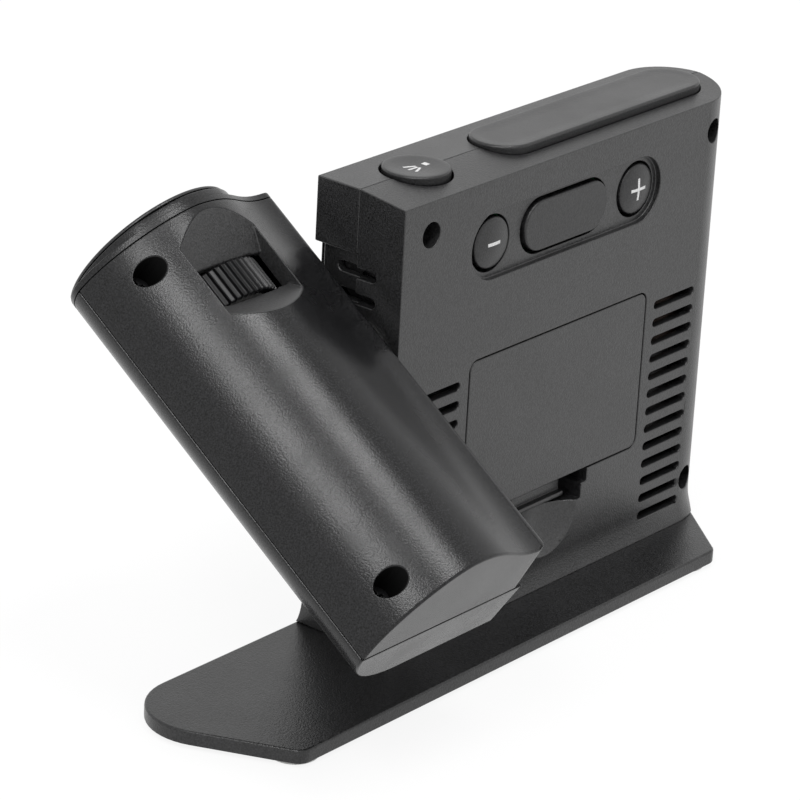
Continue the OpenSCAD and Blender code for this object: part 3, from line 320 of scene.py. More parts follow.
# %% The clock's finishes
case = moulded(
    "grained black plastic", (0.012, 0.012, 0.0125), 0.32,
    grain=0.7, size=0.32, spread=1.0, Specular_IOR_Level=0.65,
)
arm_skin = moulded(
    "satin black plastic", (0.008, 0.008, 0.0085), 0.26,
    grain=0.45, size=0.3, spread=1.0, Specular_IOR_Level=0.3,
)
base_skin = moulded(
    "base plastic", (0.010, 0.010, 0.0105), 0.32,
    grain=0.7, size=0.32, spread=1.0, Specular_IOR_Level=0.48,
)
button = moulded(
    "button plastic", (0.010, 0.010, 0.0105), 0.32, grain=0.5, size=0.3, spread=0.8
)
wheel_skin = moulded(
    "ribbed wheel plastic", (0.003, 0.003, 0.0035), 0.28, grain=0.1, Specular_IOR_Level=0.2
)
# painted light: a paler, duller plastic for the recess walls, which stands in for light bounced
# between them
painted_bounce_skin = moulded(
    "recess plastic with painted bounce light", (0.024, 0.024, 0.0245), 0.4, grain=0.45, size=0.3, spread=0.6
)
# painted shade: an almost black, dull finish that stands in for the shade deep inside the screw
# wells
painted_well_shade = moulded("painted shade in a screw well", (0.002, 0.002, 0.002), 0.7, Specular_IOR_Level=0.1)
gloss = moulded("gloss window border", (0.004, 0.004, 0.0045), 0.08, spread=0.3)
print("made", len(bpy.data.materials), "finishes for the outside")

# %% [markdown]
# ## Finishes of small and inner pieces
# Screws, springs, boards and lenses show through the slots, or once the cover is
# open. Zinc plating blurs what it mirrors, enamelled copper is dark and brownish,
# and a lens lets the light through. One helper could be written for each kind, but
# they differ only in their numbers, so all of them come from the same one.

# %% The finishes of small and inner pieces
# painted shade: screws darker than bare steel, which stands in for the shade deep in the screw
# wells
well_shade_dark_screw = moulded("screw darkened as painted well shade", (0.01, 0.01, 0.011), 0.45, grain=0.2, metal=0.5)
rubber = moulded("clear grey rubber", (0.50, 0.50, 0.49), 0.55, grain=0.3, size=0.4)
print_ink = moulded("white print", (0.52, 0.52, 0.52), 0.5, grain=0.1)
steel = moulded("zinc plated steel", (0.55, 0.56, 0.57), 0.35, grain=0.2, metal=1.0)
spring_steel = moulded("bright spring steel", (0.6, 0.61, 0.62), 0.28, grain=0.15, metal=1.0)
board = moulded("green circuit board", (0.02, 0.13, 0.05), 0.35, grain=0.15)
white = moulded("white moulding", (0.8, 0.8, 0.79), 0.45, grain=0.2)
ferrite = moulded("ferrite", (0.03, 0.028, 0.028), 0.55, grain=0.4)
copper = moulded("enamelled copper", (0.03, 0.016, 0.01), 0.5, grain=0.3, metal=0.4)
jacket = moulded("battery jacket", (0.05, 0.06, 0.08), 0.3, metal=0.6)
wire = moulded("wire jacket", (0.35, 0.03, 0.03), 0.45)
glass = moulded(
    "lens glass", (0.9, 0.94, 0.97), 0.04, spread=0.0, Transmission_Weight=0.95, IOR=1.5
)
pane = moulded(
    "clear window", (0.72, 0.73, 0.74), 0.03, spread=0.0, Transmission_Weight=1.0, IOR=1.49
)
lcd_ground = moulded("display ground", (0.36, 0.40, 0.35), 0.35, spread=0.06)
slide = moulded("projected slide", (0.012, 0.014, 0.016), 0.25)
digit = moulded("display digits", (0.012, 0.013, 0.014), 0.4, spread=0.1)
print("made", len(bpy.data.materials), "finishes in all")

# %% [markdown]
# ## The camera
# The camera comes early, because everything is judged through it. It looks from
# behind and from the projector's side, slightly down and with a small roll, on a
# long lens that keeps the upright edges nearly parallel.

# %% Camera
target = Vector((26.62, 2.66, 55.98)) * MM
azimuth, elevation, roll = (math.radians(a) for a in (128.846, 22.53, 3.195))
distance = 0.74515
out = math.cos(elevation)
back = Vector((math.sin(azimuth) * out, -math.cos(azimuth) * out, math.sin(elevation)))
right = Vector((0, 0, 1)).cross(back).normalized()
up = back.cross(right)
across = right * math.cos(roll) + up * math.sin(roll)
above = up * math.cos(roll) - right * math.sin(roll)
lens = bpy.data.cameras.new("camera")
lens.sensor_width, lens.lens = 36, 184.32
lens.clip_start, lens.clip_end = 0.05, 20
camera = bpy.data.objects.new("camera", lens)
camera.matrix_world = Matrix((across, above, back)).transposed().to_4x4()
camera.location = target + back * distance
bpy.context.scene.collection.objects.link(camera)
bpy.context.scene.camera = camera
print("camera at", [round(c, 3) for c in camera.location])

# %% [markdown]
# ## The base plate
# The base is a thin moulded plate with two large front corners and two small
# back ones. A cube with rounded corners would miss its slanted ends, so it is a
# band wrapped round four circles, with a small roll on the upper edge.

# %% Base plate and feet
BASE_LOW, BASE_TOP = 0.9, 3.7
BASE_CORNERS = [(-64.9, -8.54, 11), (63.9, -7.54, 12), (64.1, 13.86, 3), (-57.1, 13.86, 3)]
heights = rolled(BASE_LOW, BASE_TOP, top=0.45, foot=0.25)
plate = loft(stack(wrapped(BASE_CORNERS), heights, level()))
finished(as_object("base_slab", plate), "clock", base_skin, ["base_plate"])
FEET = [(-64.9, -12.14), (63.9, -12.14), (62.3, 11.46), (-54.7, 11.46)]
FOOT_R = 4.7
FOOT_PROFILE = [(4.6, 0), (0.6, 0), (0.3, 0.04), (0.08, 0.18), (0, 0.4), (0, 1.7)]
for number, (x, y) in enumerate(FEET, 1):
    foot = loft(stack(disc(FOOT_R, 48), FOOT_PROFILE, level(x, y)))
    finished(as_object(f"foot_{number}", foot), "clock", rubber, ["rubber_feet"])

# %% [markdown]
# ## The arm
# The arm has one cross-section all along: a flat front, a rounded outer
# shoulder, and a back that rises in an S-shaped sweep from the inner side to a
# crest. Two curves with handles draw the sweep. The two shells meet on a straight
# seam. All sizes are in the arm's own frame, which sits on the pivot and leans
# with the arm: across it, through it, and along it towards the lens.

# %% The arm's cross-section
PIVOT = Vector((27.9, -8.14, 60.4))
TILT = 55.2
ARM = Matrix.Translation(PIVOT) @ Matrix.Rotation(math.radians(TILT), 4, "X")
INNER, WIDTH = 0.8, 44.2  # inner side's place, and the size across the arm
CREST, SIDE, FRONT = 17.5, 11.1, 11.5  # heights off the pivot's plane
CORNER = 1.5  # rounded edge between the back and the inner side
SEAM = 0.06  # half the gap between the shells
LENS_X, LENS_Y, BORE = 23.6, 2.2, 11.9
BOTTOM, SHELL_TOP, TOP = -52.4, 31.9, 33.1
LEAN = math.tan(math.radians(5))  # how far the lower end is out of square


def in_arm(x0=0, y0=0):
    """Places an outline across the arm; its height runs along the arm, lens end up."""
    return lambda x, y, h: (ARM @ Vector((x + x0, y + y0, h))) * MM


def handle_curve(a, b, c, d, steps):
    """Points on a curve from a to d, with b and c as its handles."""
    out = []
    for i in range(steps + 1):
        t, s = i / steps, 1 - i / steps
        w = (s**3, 3 * s * s * t, 3 * s * t * t, t**3)
        out.append(tuple(sum(k * p[n] for k, p in zip(w, (a, b, c, d))) for n in (0, 1)))
    return out


def rear_curve(m):
    """The back of the arm, from its inner side over the crest to the outer seam."""
    w, c = WIDTH - m, CREST - m
    corner = arc(CORNER, SIDE - CORNER, max(CORNER - m, LEAST_R), 180, 90, 6)
    rise = corner[:-1] + handle_curve((CORNER, SIDE - m), (10, SIDE - m), (14, c), (24, c), 28)
    fall = handle_curve((24, c), (31, c), (w - 1.2, 9 - m), (w, 0), 32)
    return rise + fall[1:]


def front_curve(m):
    """The outer shoulder below the seam, round to the flat front."""
    w, f = WIDTH - m, m - FRONT
    return handle_curve((w, 0), (w, -4.5), (w - 6.2, f + 0.5), (w - 16, f), 24)


def shifted(points):
    """Moves an outline off the pivot by the gap at the arm's inner side."""
    return [(x + INNER, y) for x, y in points]


def rear_half(m, seam):
    """The rear shell's outline, down to the seam."""
    return shifted([(m, seam)] + rear_curve(m)[:-1] + [(WIDTH - m, seam)])


def front_half(m, seam):
    """The front shell's outline, up to the seam."""
    return shifted([(m, m - FRONT), (m, seam), (WIDTH - m, seam)] + front_curve(m)[1:])


def whole(m):
    """Both halves as one outline, for the lens end."""
    return shifted([(m, m - FRONT)] + rear_curve(m) + front_curve(m)[1:])


span = max(x for x, y in whole(0)) - INNER
print("the section has", len(whole(0)), "points and spans", round(span, 1), "mm")


# %% [markdown]
# ## Cutters for the arm
# The thumb wheel shows in a scooped recess of the rear shell. Its far wall is a
# ramp up to the crest, which meets the curved skin in an arch, and its near wall
# is a short cove. A sculpted dent would be hard to repeat, so the cutter is one
# polygon pulled across the arm. The screw wells are plain round cutters.


# %% Cutters for the arm
RECESS_HALF = 9.6
RECESS_FOOT, RECESS_HEAD, RECESS_RIM = 7.4, 30.6, 17.52
SLOT_FOOT, SLOT_HEAD, SLOT_DEPTH = 13.6, 21.6, 8  # where the wheel comes through
RAMP_FOOT, COVE_FOOT = 12, 12.6  # heights of the ramp and the cove beside the slot
RECESS_AIR = 26  # the recess's cutter goes on to here, past the crest
END_R = 3.0  # rounding of the lower end's inner corner
SCREWS = [(38.5, 25.8), (38.5, -45.1)]
WELL_R, WELL_FLOOR = 2.4, 4.4
BEYOND = 40  # a cutter that has to clear the arm goes on to here
on_arm = in_arm()


def lens_hole(r, low, high):
    """A round cutter on the lens's axis."""
    return loft(stack(disc(r, 64), [(0, low), (0, high)], in_arm(LENS_X, LENS_Y)))


def box(place, low, high):
    """A plain block between two corners."""
    (x0, y0, z0), (x1, y1, z1) = low, high
    corners = [(x0, y0), (x1, y0), (x1, y1), (x0, y1)]
    return loft([[place(x, y, z) for x, y in corners] for z in (z0, z1)])


def through_arm(x, z, r, y0, y1):
    """A round cutter from the back of the arm towards its front."""
    return loft([[on_arm(x + a, y, z + b) for a, b in disc(r, 48)(0)] for y in (y0, y1)])


def recess():
    """What is cut out round the wheel: the ramp, the slot, the cove, and the air above."""
    side = [(RECESS_RIM, RECESS_HEAD), (RAMP_FOOT, SLOT_HEAD), (SLOT_DEPTH, SLOT_HEAD)]
    side += [(SLOT_DEPTH, SLOT_FOOT), (COVE_FOOT, SLOT_FOOT), (RECESS_RIM, RECESS_FOOT)]
    side += [(RECESS_AIR, RECESS_FOOT), (RECESS_AIR, RECESS_HEAD)]
    walls = (LENS_X - RECESS_HALF, LENS_X + RECESS_HALF)
    return loft([[on_arm(x, y, z) for y, z in side] for x in walls])


def end_corner():
    """What is cut off to round the corner between the inner side and the lower end."""
    x, z, r = INNER, BOTTOM, END_R
    profile = [(x + r, z - 1), (x - 1, z - 1), (x - 1, z + r)] + arc(x + r, z + r, r, 180, 270, 12)
    return loft([[on_arm(a, y, b + y * LEAN) for a, b in profile] for y in (SEAM - 1, SIDE + 2)])


print("the recess is", 2 * RECESS_HALF, "mm wide; screw wells at", SCREWS)

# %% [markdown]
# ## Painted shade and light on one shell
# The bottom and walls of a screw well are painted nearly black as painted shade, and
# the walls round the wheel are painted paler and duller than the skin, as painted
# light that bounces about between them. Faces of one mesh can carry different
# materials, so these faces are picked out by where they lie and by which way they look.


# %% Painted shade and bounce light by face
SLACK = 0.1  # how far past a cutter's edge its faces are looked for, in mm
PIT_FROM, RECESS_FROM = 2, SLOT_DEPTH - 0.5  # the walls in question lie above these
TIPPED, SIDEWAYS = 0.3, 0.95  # how much of a wall's normal points along or across the arm


def paint_well_shade_and_bounce(obj):
    """Paints shade on the walls of the screw wells, and paints bounced light on the recess walls.
    """
    for material in (arm_skin, painted_well_shade, painted_bounce_skin):
        obj.data.materials.append(material)
    into = ARM.inverted()
    for face in obj.data.polygons:
        spot = into @ (face.center / MM)
        turn = into.to_3x3() @ face.normal
        near = min(math.hypot(spot.x - x, spot.z - z) for x, z in SCREWS)
        beside = abs(spot.x - LENS_X) < RECESS_HALF + SLACK and spot.y > RECESS_FROM
        along = RECESS_FOOT - SLACK < spot.z < RECESS_HEAD + SLACK
        # index 1 is the painted shade of the wells, index 2 the painted bounce light of the recess
        if near < WELL_R + SLACK / 2 and spot.y > PIT_FROM:
            face.material_index = 1
        elif beside and along and (abs(turn.z) > TIPPED or abs(turn.x) > SIDEWAYS):
            face.material_index = 2


print("wells reach", round(CREST - WELL_FLOOR, 1), "mm down from the crest")

# %% [markdown]
# ## The rear shell of the arm
# Both shells are lofted along the arm and hollowed. The lower end of the rear one
# is a few degrees out of square, so its lowest rings slide along as they rise off
# the seam. Its hollow is carved first, to leave posts round the screws and a wall
# round the recess, and is only then taken away from the shell.

# %% Rear shell of the arm
WALL, END_WALL = 1.4, 2.9
POST_R, POST_FLOOR, POST_TOP = 3.7, 2.8, 30
BLOCK_HALF, BLOCK_DEPTH, BLOCK_FOOT, BLOCK_HEAD = 11, 10.9, 6.6, 30.3  # kept round the recess
WHEEL_ROOM = (12.3, 13.3, 21.9)  # radius, foot and head of the room for the wheel
MOUTH = (BORE, 27.5, BEYOND)  # the same for the lens opening
ARM_HEIGHTS = rolled(BOTTOM, SHELL_TOP, top=0.01, foot=0.5)
rings = []
for inset, h in ARM_HEIGHTS:
    lean = LEAN if h < 0 else 0
    rings.append([on_arm(x, y, h + y * lean) for x, y in rear_half(inset, SEAM)])
rear = as_object("arm_back", loft(rings))
heights = [(0, BOTTOM + END_WALL), (0, SHELL_TOP + 1)]
cavity = as_object("cavity", loft(stack(lambda m: rear_half(WALL, -1), heights, on_arm)))
block_low = (LENS_X - BLOCK_HALF, BLOCK_DEPTH, BLOCK_FOOT)
keep = [box(on_arm, block_low, (LENS_X + BLOCK_HALF, BEYOND, BLOCK_HEAD))]
keep += [through_arm(x, z, POST_R, POST_FLOOR, POST_TOP) for x, z in SCREWS]
carve(cavity, keep)
hollow = bmesh.new()
hollow.from_mesh(cavity.data)
bpy.data.objects.remove(cavity)
cuts = [hollow, recess(), lens_hole(*WHEEL_ROOM), lens_hole(*MOUTH)]
cuts += [through_arm(x, z, WELL_R, WELL_FLOOR, POST_TOP) for x, z in SCREWS]
cuts.append(end_corner())
carve(rear, cuts)
soften(rear, 0.3, angle=24)
paint_well_shade_and_bounce(rear)
finished(rear, "projector", arm_skin, ["arm_rear_shell"], sharp=24)

# %% [markdown]
# ## The front shell of the arm
# The front shell is the plain half: a straight loft with a hollow and its share of
# the lens opening. A mirrored copy of the rear one wouldn't do, because the two
# have only the seam in common.

# %% Front shell of the arm
front = as_object("arm_front", loft(stack(lambda m: front_half(m, -SEAM), ARM_HEIGHTS, on_arm)))
heights = [(0, BOTTOM + WALL), (0, SHELL_TOP + 1)]
cuts = [loft(stack(lambda m: front_half(WALL, 1), heights, on_arm))]
cuts.append(lens_hole(*MOUTH))
carve(front, cuts)
soften(front, 0.3, angle=24)
finished(front, "projector", arm_skin, ["arm_front_shell"], sharp=24)

# %% [markdown]
# ## The lens end
# A thin cap closes the arm. A round collar stands on it, cut flat where it would
# pass the arm's front, then a narrow groove and a ring with a rolled edge. Each
# is one closed loop of rings: up the outside, over the edge, and down the bore.
# For that the outside and the bore need points that lie on the same rays, so the
# rays come first, with one extra ray at the arm's sharp corner.

# %% Rays from the collar's middle
COLLAR_X, COLLAR_R, RING_R = 24.2, 17.6, 17.2
STEPS = 360
FAR, TINY = 99.0, 1e-9
NEARLY = 1e-6  # share of an edge's length by which a ray may miss its end


def reach(angle):
    """How far a ray from the collar's middle goes before it leaves the arm's outline."""
    ray = Vector((math.cos(angle), math.sin(angle)))
    outline = [Vector(p) - Vector((COLLAR_X, 0)) for p in whole(0)]
    best = FAR
    for a, b in zip(outline, outline[1:] + outline[:1]):
        edge = b - a
        d = ray.x * edge.y - ray.y * edge.x
        if abs(d) > TINY:
            t = (a.x * edge.y - a.y * edge.x) / d
            s = (a.x * ray.y - a.y * ray.x) / d
            if t > 0 and -NEARLY <= s <= 1 + NEARLY:
                best = min(best, t)
    return best


SHARP = math.atan2(-FRONT, INNER - COLLAR_X) % (2 * math.pi)
ANGLES = sorted([2 * math.pi * i / STEPS for i in range(STEPS)] + [SHARP])
REACH = [reach(a) for a in ANGLES]
print("the arm's edge is", round(min(REACH), 1), "mm from the collar's middle at the nearest")

# %% [markdown]
# ## Cap, collar and ring
# On these rays an outline is a list of distances. The collar takes whichever is
# less, its own radius or the distance to the arm's edge, and that is what cuts it
# flat at the front. A boolean could cut it too, but the new edge would then need a
# bevel of its own.


# %% End cap, collar and ring
CAP_LOW = SHELL_TOP + 0.06
LEDGE, COLLAR_TOP, RING_TOP = 34.55, 34.8, 35.5
LIP = 0.25  # rolled edge of the opening
FADE = 1.5  # the cap's roll fades out where its edge comes this near to the collar


def collar(radius):
    """A circle, cut off where it would pass the arm's own outline."""
    def outline(m):
        return [
            (COLLAR_X + math.cos(a) * (min(radius, r) - m), math.sin(a) * (min(radius, r) - m))
            for a, r in zip(ANGLES, REACH)
        ]
    return outline


def bore(r):
    """The round opening, with its points on the collar's rays."""
    dx, dy = LENS_X - COLLAR_X, LENS_Y
    out = []
    for a in ANGLES:
        along = dx * math.cos(a) + dy * math.sin(a)
        off = dx * math.sin(a) - dy * math.cos(a)
        d = along + math.sqrt(r * r - off * off)
        out.append((COLLAR_X + math.cos(a) * d, math.sin(a) * d))
    return out


def ring_piece(name, outside, heights, low, high):
    """A plate with the lens opening through it."""
    rings = stack(outside, heights, on_arm)
    down = [(BORE + LIP, high), (BORE, high - LIP), (BORE, low)]
    rings += [[on_arm(x, y, h) for x, y in bore(r)] for r, h in down]
    return as_object(name, loft(rings, closed=True))


def cap_outline(m):
    """The arm's outline, rolled over only where the collar stands back from it."""
    out = []
    for a, r in zip(ANGLES, REACH):
        r -= m * min(1.0, max(0.0, (r - COLLAR_R) / FADE))
        out.append((COLLAR_X + math.cos(a) * r, math.sin(a) * r))
    return out


cap = ring_piece("arm_cap", cap_outline, rolled(CAP_LOW, TOP, top=0.25), CAP_LOW, TOP)
finished(cap, "projector", arm_skin, ["arm_end_cap"])
heights = rolled(TOP, LEDGE, top=0.3) + [(1.0, LEDGE), (1.0, COLLAR_TOP)]
neck = ring_piece("collar", collar(COLLAR_R), heights, TOP, COLLAR_TOP)
finished(neck, "projector", arm_skin, ["arm_end_cap"])
heights = rolled(COLLAR_TOP, RING_TOP, top=0.45, foot=0.15)
bezel = ring_piece("bezel", collar(RING_R), heights, COLLAR_TOP, RING_TOP)
finished(bezel, "projector", button, ["end_ring"])

# %% [markdown]
# ## The wheel
# The wheel that turns the projected picture has fine ribs along its axis. They are
# narrow and rounded, with wider valleys between them, so the radius follows a
# cosine raised to a power. An array of separate ribs would leave a seam at the
# foot of every one.

# %% Ribbed wheel
RIBS, PER_RIB = 52, 12
WHEEL_R, WHEEL_BORE, RIB_DEPTH = 12.0, 8.45, 0.6
WHEEL_LOW, WHEEL_HIGH, CHAMFER = 13.9, 21.3, 0.3
RIB_POWER = 8  # the higher, the narrower the ribs


def ribbed(m):
    """A circle with ribs on it."""
    out = []
    for i in range(RIBS * PER_RIB):
        a = 2 * math.pi * i / (RIBS * PER_RIB)
        valley = 1 - (0.5 + 0.5 * math.cos(RIBS * a)) ** RIB_POWER
        r = WHEEL_R - m - RIB_DEPTH * valley
        out.append((r * math.cos(a), r * math.sin(a)))
    return out


at_lens = in_arm(LENS_X, LENS_Y)
rings = stack(ribbed, rolled(WHEEL_LOW, WHEEL_HIGH, top=0.35, foot=0.35, steps=3), at_lens)
heights = [(-CHAMFER, WHEEL_HIGH), (0, WHEEL_HIGH - CHAMFER)]
heights += [(0, WHEEL_LOW + CHAMFER), (-CHAMFER, WHEEL_LOW)]
rings += stack(disc(WHEEL_BORE, RIBS * PER_RIB), heights, at_lens)
wheel = as_object("ribbed_wheel", loft(rings, closed=True))
finished(wheel, "picture_wheel", wheel_skin, ["rotate_wheel"], sharp=60)

# %% [markdown]
# ## The focus ring
# The ring that a finger turns to focus has soft grooves round a cone that leads to
# the lens. The grooves are dips in the outline, and the cone is a list of radii
# and heights, so the whole ring is again one closed loop of rings.


# %% Focus ring
GRIPS, GRIP_R, GRIP_DEPTH, GRIP_STEPS = 12, 11.6, 0.45, 360
FOCUS_LOW = 28.1
GRIP_POWER = 4  # the higher, the narrower the grooves


def gripped(m):
    """A circle with finger grooves in it."""
    out = []
    for i in range(GRIP_STEPS):
        a = 2 * math.pi * i / GRIP_STEPS
        dip = max(0.0, math.cos(GRIPS * a)) ** GRIP_POWER
        r = GRIP_R - m - GRIP_DEPTH * dip
        out.append((r * math.cos(a), r * math.sin(a)))
    return out


rings = stack(gripped, rolled(FOCUS_LOW, RING_TOP, top=0.5, foot=0.1), at_lens)
cone = [(9.6, RING_TOP), (9.3, 35.3), (6.1, 33.15), (5.9, 33.0), (5.9, 32.2)]
cone += [(8.45, 32.1), (8.45, FOCUS_LOW)]
rings += [[at_lens(x, y, h) for x, y in disc(r, GRIP_STEPS)(0)] for r, h in cone]
focus = as_object("focus_grip", loft(rings, closed=True))
finished(focus, "focus", wheel_skin, ["focus_ring"])

# %% [markdown]
# ## Top bar and button
# The long bar on top follows the round end of the case, and it stands proud with
# a rolled edge and a slight dish for the finger. The round button is dished like a
# shallow bowl, so its face is part of a sine curve turned round its middle.

# %% Snooze bar and projection button
SEAM_Y, BACK_Y, TOP_Z = -8.14, 2.66, 94.1
BAR_X, BAR_LENGTH, BAR_WIDTH, SPOT_X = -38.8, 64.4, 12.8, 12.2
PRESS_LOW = 90.6  # both buttons reach down to here inside the case
BAR_TOP = TOP_Z + 0.9
BAR_DISH = [(1.6, 0.04), (3.4, 0.16)]  # how deep the dish is at each inset
heights = rolled(PRESS_LOW, BAR_TOP, top=0.5) + [(m, BAR_TOP - deep) for m, deep in BAR_DISH]
outline = pill(BAR_LENGTH, BAR_WIDTH)
bar = as_object("long_bar", loft(stack(outline, heights, level(BAR_X, SEAM_Y))))
finished(bar, "snooze", button, ["snooze_bar"])
SPOT_R, SPOT_TOP, RIM, DISH = 6.45, TOP_Z + 0.75, 0.6, 0.32
heights = rolled(PRESS_LOW, SPOT_TOP, top=0.4)
for t in (0.12, 0.3, 0.5, 0.75, 0.96):
    heights.append((RIM + (SPOT_R - RIM) * t, SPOT_TOP - DISH * math.sin(math.pi * t / 2)))
spot = as_object("beam_cap", loft(stack(disc(SPOT_R), heights, level(SPOT_X, SEAM_Y))))
finished(spot, "beam_button", button, ["projection_button"])


def button_face(a, b):
    """Height of the round button's dished face at a place on it."""
    r = min(math.hypot(a, b) / (SPOT_R - RIM), 1)
    return SPOT_TOP - DISH * math.sin(math.pi * (1 - r) / 2)


print("the round button's bowl is", round(SPOT_TOP - button_face(0, 0), 2), "mm deep")

# %% [markdown]
# ## Keys on the back
# The round keys have a shallow dome and the long one between them is flat with a
# rolled edge. A dome is lofted from the rim to its middle in a few rings, whose
# depth is a parabola.

# %% Keys
PANEL_X, KEYS_Z, KEY_PITCH, KEY_R = -20.9, 79.85, 22.1, 5.05
LONG_KEY = 25.4
KEY_LOW, KEY_FACE = BACK_Y - 3.3, BACK_Y - 0.2
CROWN = 0.7  # how far the rim lies below the middle


def dome(a, b):
    """Depth of a round key's face at a place on it."""
    return KEY_FACE - CROWN * (a * a + b * b) / (KEY_R * KEY_R)


def key_cap(name, body, x, node):
    """A round key with a domed face."""
    rim = KEY_FACE - CROWN
    heights = [(0, KEY_LOW), (0, rim - 0.25), (0.08, rim - 0.08), (0.3, rim + 0.09)]
    for r in (4.3, 3.6, 2.9, 2.2, 1.4, 0.6, 0.05):
        heights.append((KEY_R - r, dome(r, 0)))
    cap = as_object(name, loft(stack(disc(KEY_R), heights, upright(x, KEYS_Z))))
    finished(cap, body, button, [node])


key_cap("minus_cap", "minus", PANEL_X + KEY_PITCH, "minus_key")
key_cap("plus_cap", "plus", PANEL_X - KEY_PITCH, "plus_key")
heights = rolled(KEY_LOW, BACK_Y - 0.4, top=0.45)
long_key = loft(stack(pill(LONG_KEY, 2 * KEY_R), heights, upright(PANEL_X, KEYS_Z)))
finished(as_object("set_cap", long_key), "set", button, ["set_key"])

# %% [markdown]
# ## Printed signs
# The plus, the minus and the sign of a beam are printed. An image on the face
# would need its own unwrapping and would blur up close, so each bar of a sign is a
# thin skin with a fine grid, which follows the curved face a hair above it.


# %% Signs
GRID = 0.3  # size of a skin's squares, in mm
INK = (-0.05, 0.03)  # underside and face of the print, off the surface


def mark(name, body, bars, surface, place):
    """Printed bars, each given as (x, y, length, width, turn), that follow a curved surface."""
    bm = bmesh.new()
    for cx, cy, length, width, turn in bars:
        c, d = math.cos(math.radians(turn)), math.sin(math.radians(turn))
        n, k = max(2, int(length / GRID)), max(2, int(width / GRID))
        skins = []
        for lift in INK:
            skin = {}
            for i in range(n + 1):
                for j in range(k + 1):
                    u, v = length * (i / n - 0.5), width * (j / k - 0.5)
                    a, b = cx + u * c - v * d, cy + u * d + v * c
                    skin[i, j] = bm.verts.new(place(a, b, surface(a, b) + lift))
            skins.append(skin)
        low, high = skins
        for i in range(n):
            for j in range(k):
                bm.faces.new((high[i, j], high[i + 1, j], high[i + 1, j + 1], high[i, j + 1]))
                bm.faces.new((low[i, j], low[i, j + 1], low[i + 1, j + 1], low[i + 1, j]))
        rim = [(i, 0) for i in range(n)] + [(n, j) for j in range(k)]
        rim += [(i, k) for i in range(n, 0, -1)] + [(0, j) for j in range(k, 0, -1)]
        for p, q in zip(rim, rim[1:] + rim[:1]):
            bm.faces.new((low[p], low[q], high[q], high[p]))
    bmesh.ops.recalc_face_normals(bm, faces=bm.faces)
    finished(as_object(name, bm), body, print_ink)


minus_bar = [(0, 0, 3.5, 0.65, 0)]
mark("minus_mark", "minus", minus_bar, dome, upright(PANEL_X + KEY_PITCH, KEYS_Z))
RAY = 2.6
beam_bars = [(-2.6, 0, 1.1, 1.3, 0)]
for turn in (-24, 0, 24):
    t = math.radians(turn)
    beam_bars.append((RAY * math.cos(t) - 1.6, RAY * math.sin(t), RAY, 0.5, turn))
mark("beam_mark", "beam_button", beam_bars, button_face, level(SPOT_X, SEAM_Y))
plus_bars = [(0, 0, 4.4, 0.6, 0), (0, 1.25, 1.9, 0.6, 90), (0, -1.25, 1.9, 0.6, 90)]
mark("plus_mark", "plus", plus_bars, dome, upright(PANEL_X - KEY_PITCH, KEYS_Z))

# %% [markdown]
# ## The case
# The two housings are full of slots, wells and pockets that the solids already
# have in the right places. So their skins start from those solids: the flat
# faces are joined up again and every sharp edge gets a small bevel.


# %% Case skins
SAME = 0.001  # points of a solid closer than this are one, in mm
FLAT = math.radians(0.5)  # faces that turn by less than this are one


def eased_copy(node, name, width):
    """A copy of a solid, with its flat faces joined up and its sharp edges eased."""
    bm = bmesh.new()
    bm.from_mesh(nodes[node].data)
    bmesh.ops.remove_doubles(bm, verts=bm.verts, dist=SAME * MM)
    bmesh.ops.dissolve_limit(bm, angle_limit=FLAT, verts=bm.verts, edges=bm.edges)
    obj = as_object(name, bm)
    soften(obj, width, angle=30, segments=2)
    return obj


def eased(node, name, body, width):
    """Puts a skin of the clock's own plastic over a solid."""
    finished(eased_copy(node, name, width), body, case, [node])


eased("rear_housing", "case_back", "clock", 0.2)
eased("front_housing", "case_front", "clock", 0.25)
eased("battery_cover", "cover_skin", "cover", 0.25)

# %% [markdown]
# ## The front display
# The window is a clear plate with a black border, which leaves a rectangle open
# over the display. The border is an opaque copy of the plate with that rectangle
# cut out, and a clear pane fills it: that renders with less noise than one clear
# plate with a print behind it, and looks the same.

# %% Window
WINDOW_FRONT, WINDOW_BACK = -18.34, -16.84
VIEW_X, VIEW_Z = -20.1, 44.65
view = panel(60, 51, 0.8)
border = eased_copy("display_window", "window_border", 0.25)
carve(border, [loft(stack(view, [(0, -16), (0, -19)], upright(VIEW_X, VIEW_Z)))])
finished(border, "clock", gloss, ["display_window"])
heights = [(0.01, WINDOW_BACK), (0.01, WINDOW_FRONT)]
clear = as_object("window_pane", loft(stack(view, heights, upright(VIEW_X, VIEW_Z))))
finished(clear, "clock", pane, ["display_window"])

# %% [markdown]
# ## Digits on the display
# A liquid crystal shows each digit with seven bars, which have pointed ends so that
# they can meet at the corners. The bars are thin plates just in front of the
# display, and a small table says which of them each digit lights.

# %% Digits
LCD_FACE = -15.64
OFF_FACE = (-0.05, -0.01)  # front and back of the bars, off the display
WIDE, THICK, GAP, COLON = 0.5, 0.11, 0.22, 0.32  # shares of a digit's height
SHORT = 0.06  # share of its length by which a bar stops short of a corner
SEGMENTS = {"0": "abcdef", "1": "bc", "2": "abged", "3": "abgcd", "6": "afgedc", "8": "abcdefg"}


def segment(x, z, length, thick, standing):
    """A bar with pointed ends, flat on the display."""
    h, t = length / 2 - SHORT * length, thick / 2
    points = [(-h, 0), (-h + t, -t), (h - t, -t), (h, 0), (h - t, t), (-h + t, t)]
    return [(x + (b if standing else a), z + (-a if standing else b)) for a, b in points]


